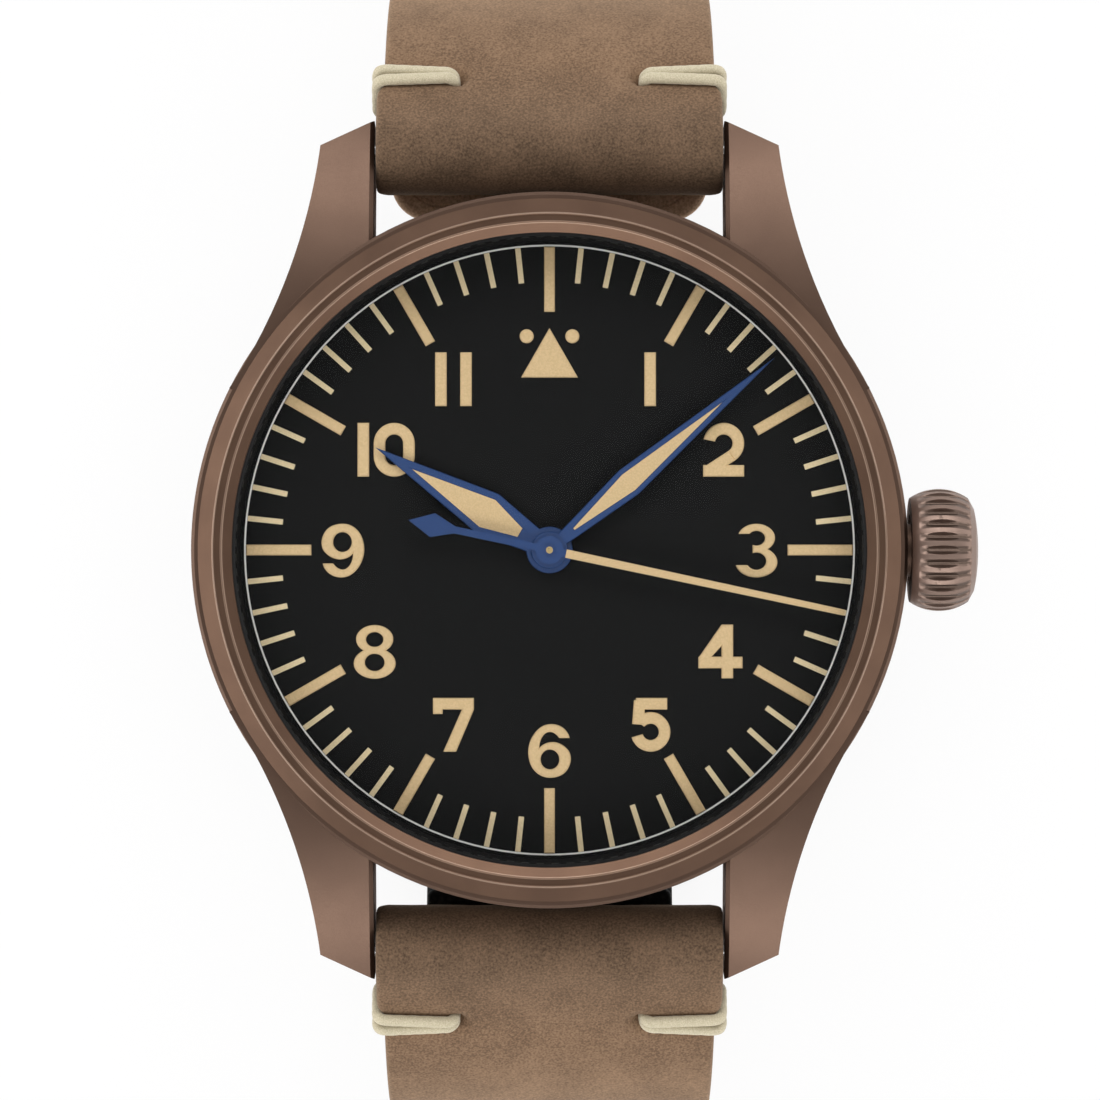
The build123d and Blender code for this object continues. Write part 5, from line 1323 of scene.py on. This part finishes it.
@dataclass
class Strap:
    """Both halves of the strap, with the flap at twelve, the tab at six, and the holes."""

    workshop: Workshop
    flap: Slab = Slab(9.2, 19.15, 24.2, -0.75, 0.45, 2.2, 0.42)
    tab: Slab = Slab(7.1, 19.7, 25.2, -0.55, 0.35, 0.5, 0.25)
    hole_half: float = 1.1
    hole_pitch: float = 6.0
    slot_y: float = -12.9
    slot_length: float = 4.6
    flat_holes: range = range(4)
    tail_holes: range = range(4, 6)
    tail_centre: Point = (10.557, -18.643)
    tail_radius: float = 24.5
    tail_cut_start: float = 2.2
    tail_cut_length: float = 5.0
    cut_bottom: float = -45.9
    hole_cut_top: float = -38.5
    notch_cut_top: float = -37.5
    notch_half: float = 1.5
    notch: Point = (-12.8, -9.2)
    sides: int = 32

    def build(self) -> None:
        """Makes the four layers and puts them on the case."""
        short, long = ShortHalf(Side.TWELVE), LongHalf(Side.SIX)
        layers = (
            ("short_strap_leather", "strap_short_outer", short, Slot.LEATHER, self.flap, self.notch_tool),
            ("long_strap_leather", "strap_long_outer", long, Slot.LEATHER, None, self.hole_tool),
            ("short_strap_lining", "strap_short_lining", short, Slot.LINING, None, None),
            ("long_strap_lining", "strap_long_lining", long, Slot.LINING, self.tab, self.hole_tool),
        )
        for name, node, half, slot, slab, tool in layers:
            piece = self.layer(name, half, slot, slab)
            if tool is not None:
                cut(piece, tool())
            hand_over(piece, node, slot, "case")

    def layer(self, name: str, half: StrapHalf, slot: Slot, slab: Slab | None) -> bpy.types.Object:
        """Makes one layer of one half, with its slab if it has one.

        Args:
            name: the piece's name.
            half: the strap half.
            slot: the layer's slot, leather for the outer one.
            slab: the flap or tab under the roll.

        Returns:
            The piece.
        """
        outer = slot is Slot.LEATHER
        bm = bmesh.new()
        rings = [half.ring(station, outer) for station in half.stations(outer)]
        skin(bm, rings, rim=1, side_faces=half.side_faces())
        if slab is not None:
            slab.add(bm, half.side, 2)
        finish = FINISHES[slot]
        # Index 2 is the slab; the outer leather's flap takes a finish painted paler, as painted light
        # against the shade under the case
        finishes = (finish, EDGE_FINISH, FLAP_PAINTED_LIGHT_FINISH if outer else finish)
        return link_mesh(name, bm, [self.workshop.finish(each) for each in finishes])

    def notch_tool(self) -> bpy.types.Object:
        """Makes the opening for the tongue in the roll round the buckle's pin.

        Returns:
            The tool.
        """
        bm = bmesh.new()
        near, far = self.notch
        corners = ((-1, near), (1, near), (1, far), (-1, far))
        outline = [Vector((sign * self.notch_half, y, self.cut_bottom)) for sign, y in corners]
        prism(bm, outline, Vector((0, 0, self.notch_cut_top - self.cut_bottom)))
        return link_mesh("notch_tool", bm, [self.workshop.finish(EDGE_FINISH)])

    def hole_tool(self) -> bpy.types.Object:
        """Makes the tongue's slot and the round holes through the long half.

        Returns:
            The tool.
        """
        bm = bmesh.new()
        turns = [2 * math.pi * index / self.sides for index in range(self.sides)]
        circle = [(self.hole_half * math.cos(turn), self.hole_half * math.sin(turn)) for turn in turns]
        for number in self.flat_holes:
            y = self.slot_y + self.hole_pitch * number
            stretch = 0.0 if number else (self.slot_length - 2 * self.hole_half) / 2
            outline = [Vector((x, y + up + math.copysign(stretch, up), self.cut_bottom)) for x, up in circle]
            prism(bm, outline, Vector((0, 0, self.hole_cut_top - self.cut_bottom)))
        centre = Vector((0, *self.tail_centre))
        for number in self.tail_holes:
            turn = (self.slot_y + self.hole_pitch * number - self.tail_centre[0]) / self.tail_radius
            outwards = Vector((0, math.sin(turn), -math.cos(turn)))
            along = Vector((0, math.cos(turn), math.sin(turn)))
            start = centre + outwards * (self.tail_radius - self.tail_cut_start)
            outline = [start + Vector((x, 0, 0)) + along * up for x, up in circle]
            prism(bm, outline, outwards * self.tail_cut_length)
        return link_mesh("hole_tool", bm, [self.workshop.finish(EDGE_FINISH)])


@dataclass
class LugStitches:
    """Two twisted strands round each edge of the strap, sewn through at a lug end."""

    side: Side
    half: StrapHalf
    workshop: Workshop
    radius: float = 0.34
    strand_gap: float = 0.84
    hole_gap: float = 0.36
    hole_pinch: float = 0.6
    edge_level: float = 2.5
    edge_clear: float = 0.02
    edge_lean: float = 0.03
    inner_x: float = 5.45
    inner_lean: float = 0.05
    start_height: float = 0.5
    end_height: float = -0.3
    under_x: float = 7.6
    sink: float = 0.1
    bend: float = 0.55
    bend_share: float = 0.49
    bend_steps: int = 8
    plies: int = 3
    ply_depth: float = 0.05
    twist_pitch: float = 2.4
    around: int = 18
    step: float = 0.12
    crease: float = 60.0

    def build(self) -> None:
        """Makes the strands and puts them on the case."""
        bm = bmesh.new()
        for edge in (1, -1):
            for strand in (-1, 1):
                self.strand(bm, self.route(edge, strand))
        place = self.side.name.lower()
        thread = self.workshop.finish(FINISHES[Slot.THREAD])
        obj = link_mesh(f"stitches_at_{place}", bm, [thread], self.crease)
        hand_over(obj, f"stitches_{place}", Slot.THREAD, "case")

    def corners(self, edge: int, strand: int) -> list[Vector]:
        """Corner points of one strand: in through the leather, over it, down the edge and back under it.

        Args:
            edge: 1 for the edge towards the crown, -1 for the other.
            strand: 1 for the strand further from the case, -1 for the nearer one.

        Returns:
            The points in space.
        """
        half_width = self.half.taper.half(self.edge_level) + self.radius + self.edge_clear
        top = self.half.outer_depth + self.radius - self.sink
        bottom = -self.half.lining_depth - self.radius + self.sink
        wide, tight = strand * self.strand_gap / 2, strand * self.hole_gap / 2
        plan = (
            (self.inner_x, self.start_height, tight * self.hole_pinch),
            (self.inner_x + self.inner_lean, top - self.inner_lean, tight),
            (half_width, top - self.edge_clear, wide),
            (half_width + self.edge_lean, bottom, wide),
            (self.under_x, bottom, tight),
            (self.under_x, self.end_height, tight * self.hole_pinch),
        )
        slope = math.radians(self.half.slope)
        along = Vector((math.cos(slope), -math.sin(slope)))
        out = Vector((math.sin(slope), math.cos(slope)))
        start = self.half.seam_start() + along * self.half.stitch_reach
        points = []
        for x, height, shift in plan:
            flat = start + out * height + along * shift
            points.append(Vector((edge * x, flat.x * self.side.value, flat.y)))
        return points

    def route(self, edge: int, strand: int) -> list[Vector]:
        """A strand's line with rounded corners, in small steps.

        Args:
            edge: 1 for the edge towards the crown, -1 for the other.
            strand: 1 for the strand further from the case, -1 for the nearer one.

        Returns:
            The line's points.
        """
        corners = self.corners(edge, strand)
        fine = [corners[0]]
        for before, corner, after in zip(corners, corners[1:], corners[2:]):
            lengths = (way.length * self.bend_share for way in (corner - before, after - corner))
            reach = min(self.bend, *lengths)
            start = corner + (before - corner).normalized() * reach
            end = corner + (after - corner).normalized() * reach
            for index in range(self.bend_steps + 1):
                share = index / self.bend_steps
                fine.append(start * (1 - share) ** 2 + corner * 2 * share * (1 - share) + end * share**2)
        fine.append(corners[-1])
        return self.even(fine)

    def even(self, points: list[Vector]) -> list[Vector]:
        """Walks a line in steps of one length.

        Args:
            points: the line's points.

        Returns:
            The points where the steps end.
        """
        result = [points[0]]
        left = self.step
        for near, far in zip(points, points[1:]):
            length = (far - near).length
            done = 0.0
            while length - done >= left:
                done += left
                result.append(near.lerp(far, done / length))
                left = self.step
            left -= length - done
        return result

    def strand(self, bm: bmesh.types.BMesh, line: list[Vector]) -> None:
        """Adds one twisted strand to a mesh.

        Args:
            bm: the mesh.
            line: the strand's middle line, in even steps.
        """
        rings = []
        side = Vector((0, 0, 1)).cross(line[1] - line[0])
        if side.length < 1e-6:
            side = Vector((0, 1, 0))
        side.normalize()
        reach = 0.0
        for index, point in enumerate(line):
            ahead = (line[min(index + 1, len(line) - 1)] - line[max(index - 1, 0)]).normalized()
            side = (side - ahead * side.dot(ahead)).normalized()
            up = ahead.cross(side)
            ring = []
            for number in range(self.around):
                turn = 2 * math.pi * number / self.around
                lobe = abs(math.cos(self.plies * (turn - 2 * math.pi * reach / self.twist_pitch) / 2))
                radius = self.radius * (1 - self.ply_depth + self.ply_depth * lobe)
                ring.append(point + side * (radius * math.cos(turn)) + up * (radius * math.sin(turn)))
            rings.append(ring)
            reach += self.step
        skin(bm, rings)


@dataclass
class Keeper:
    """A leather loop round both layers of the strap."""

    node: str
    body: str
    middle_y: float
    inner_top: float
    workshop: Workshop
    sole: float = 1.3
    wall: float = 1.2
    top_wall: float = 1.0
    inner_half: float = 8.25
    half_length: float = 2.0
    outer_corner: float = 1.1
    inner_corner: float = 0.5
    rim: float = 0.3
    side_steps: int = 14
    corner_steps: int = 6
    across: int = 9
    rim_steps: int = 4
    crease: float = 50.0

    def loop(self, half: float, low: float, high: float, corner: float) -> list[Vector]:
        """A rounded rectangle, with a fixed number of points per side and corner.

        Args:
            half: half of its width.
            low: its lowest height.
            high: its highest height.
            corner: its corners' radius.

        Returns:
            The points as (x, z), from the right end of its upper right corner.
        """
        bends = []
        for x, z, start in ((half, high, 0), (-half, high, 90), (-half, low, 180), (half, low, 270)):
            centre_x = x - math.copysign(corner, x)
            centre_z = z - corner if z == high else z + corner
            bend = []
            for step in range(self.corner_steps + 1):
                turn = math.radians(start + 90 * step / self.corner_steps)
                right, up = centre_x + corner * math.cos(turn), centre_z + corner * math.sin(turn)
                bend.append(Vector((right, up)))
            bends.append(bend)
        points = []
        for bend, following in zip(bends, bends[1:] + bends[:1]):
            points.extend(bend)
            shares = (step / self.side_steps for step in range(1, self.side_steps))
            points.extend(bend[-1].lerp(following[0], share) for share in shares)
        return points

    def build(self) -> None:
        """Makes the loop and puts it on its body."""
        high = self.inner_top + self.top_wall
        outer = self.loop(self.inner_half + self.wall, REST_LEVEL, high, self.outer_corner)
        inner = self.loop(self.inner_half, REST_LEVEL + self.sole, self.inner_top, self.inner_corner)
        rings = []
        for near, far in zip(inner, outer):
            out = far - near
            depth = out.length
            out.normalize()
            ring = []
            section = rounded_section(self.half_length, depth, self.rim, self.across, self.rim_steps)
            for sideways, outwards in section:
                flat = near + out * outwards
                ring.append(Vector((flat.x, self.middle_y + sideways, flat.y)))
            rings.append(ring)
        bm = bmesh.new()
        skin(bm, rings, closed=True)
        # The keeper lies nearer the axis along y than the painted shade's range, so it takes the painted
        # shade colours all over
        leather = self.workshop.finish(FINISHES[Slot.LEATHER])
        obj = link_mesh(f"{self.node}_leather", bm, [leather], self.crease)
        hand_over(obj, self.node, Slot.LEATHER, self.body)


@dataclass(frozen=True)
class Softbox:
    """One lamp that faces the watch: its middle, its width and height, and its power in watts."""

    name: str
    place: tuple[float, float, float]
    size: Point
    power: float

    def build(self) -> None:
        """Hangs the lamp."""
        data = bpy.data.lights.new(self.name, "AREA")
        data.shape = "RECTANGLE"
        data.size, data.size_y = (length * MM for length in self.size)
        data.energy = self.power
        lamp = bpy.data.objects.new(self.name, data)
        lamp.location = Vector(self.place) * MM
        lamp.rotation_mode = "QUATERNION"
        lamp.rotation_quaternion = (-lamp.location).to_track_quat("-Z", "Y")
        bpy.context.scene.collection.objects.link(lamp)


@dataclass
class Studio:
    """Floor, world, lamps and camera."""

    floor_half: float = 3000.0
    floor_drop: float = 0.02
    floor_color: Color = (0.8, 0.8, 0.8)
    floor_roughness: float = 0.9
    floor_specular: float = 0.1
    floor_camera_share: float = 0.78
    sky_range: Point = (0.55, 0.95)
    sky_levels: Point = (0.72, 0.78)
    camera_height: float = 309.0
    camera_x: float = 0.03
    camera_clip: Point = (0.01, 10.0)
    lens: float = 173.8
    sensor: float = 36.0
    lamps: tuple[Softbox, ...] = (
        Softbox("softbox_twelve", (0.0, 512.0, 400.0), (900.0, 330.0), 3.0),
        Softbox("softbox_six", (0.0, -512.0, 400.0), (900.0, 330.0), 2.8),
        Softbox("softbox_left", (-580.0, 0.0, 130.0), (1100.0, 300.0), 2.2),
        Softbox("softbox_right", (580.0, 0.0, 130.0), (1100.0, 300.0), 1.4),
    )

    def build(self) -> None:
        """Makes everything that is not part of the watch."""
        self.floor()
        self.world()
        for lamp in self.lamps:
            lamp.build()
        self.camera()

    def floor(self) -> None:
        """A pale floor under the strap, white to the camera but for the watch's shadow."""
        bm = bmesh.new()
        size, level = self.floor_half, REST_LEVEL - self.floor_drop
        corners = ((-1, -1), (1, -1), (1, 1), (-1, 1))
        bm.faces.new([bm.verts.new((x * size, y * size, level)) for x, y in corners])
        paint = Painter(
            "pale_floor",
            Roughness=self.floor_roughness,
            Specular_IOR_Level=self.floor_specular,
            Base_Color=(*self.floor_color, 1.0),
        )
        glow = paint.add("ShaderNodeEmission", Strength=1.0)
        seen = paint.add("ShaderNodeLightPath").outputs["Is Camera Ray"]
        share = paint.combine("MULTIPLY", seen, self.floor_camera_share)
        paint.mix(share, paint.shader.outputs["BSDF"], glow.outputs[0])
        link_mesh("floor", bm, [paint.material])

    def world(self) -> None:
        """An even grey sky, a little brighter overhead, and white where only the camera looks."""
        world = bpy.data.worlds.new("soft_sky")
        bpy.context.scene.world = world
        world.use_nodes = True
        sheet = NodeSheet(world.node_tree, "ShaderNodeOutputWorld")
        sky = sheet.add("ShaderNodeBackground")
        white = sheet.add("ShaderNodeBackground", Color=(1, 1, 1, 1))
        height = sheet.split(sheet.add("ShaderNodeTexCoord").outputs["Generated"])["Z"]
        sheet.join(sheet.spread(height, self.sky_range, self.sky_levels), sky.inputs["Strength"])
        seen = sheet.add("ShaderNodeLightPath").outputs["Is Camera Ray"]
        sheet.mix(seen, sky.outputs[0], white.outputs[0])

    def camera(self) -> None:
        """Looks straight down on the dial, as the photograph does."""
        data = bpy.data.cameras.new("photo_camera")
        data.sensor_width = self.sensor
        data.lens = self.lens
        data.clip_start, data.clip_end = self.camera_clip
        camera = bpy.data.objects.new("photo_camera", data)
        camera.location = (self.camera_x * MM, 0, self.camera_height * MM)
        bpy.context.scene.collection.objects.link(camera)
        bpy.context.scene.camera = camera


def main() -> None:
    """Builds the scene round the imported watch, piece by piece."""
    logging.basicConfig(level=logging.INFO, format="%(name)s: %(message)s")
    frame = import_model()
    bpy.context.scene.view_settings.view_transform = "Standard"
    workshop = Workshop()
    RigidParts(frame["nodes"], workshop).dress()
    Strap(workshop).build()
    for side, half in ((Side.TWELVE, ShortHalf), (Side.SIX, LongHalf)):
        LugStitches(side, half(side), workshop).build()
    Keeper("fixed_keeper", "case", -6.6, -39.743, workshop).build()
    Keeper("sliding_keeper", "sliding_keeper", 3.0, -39.693, workshop).build()
    Studio().build()


if __name__ == "__main__":
    main()
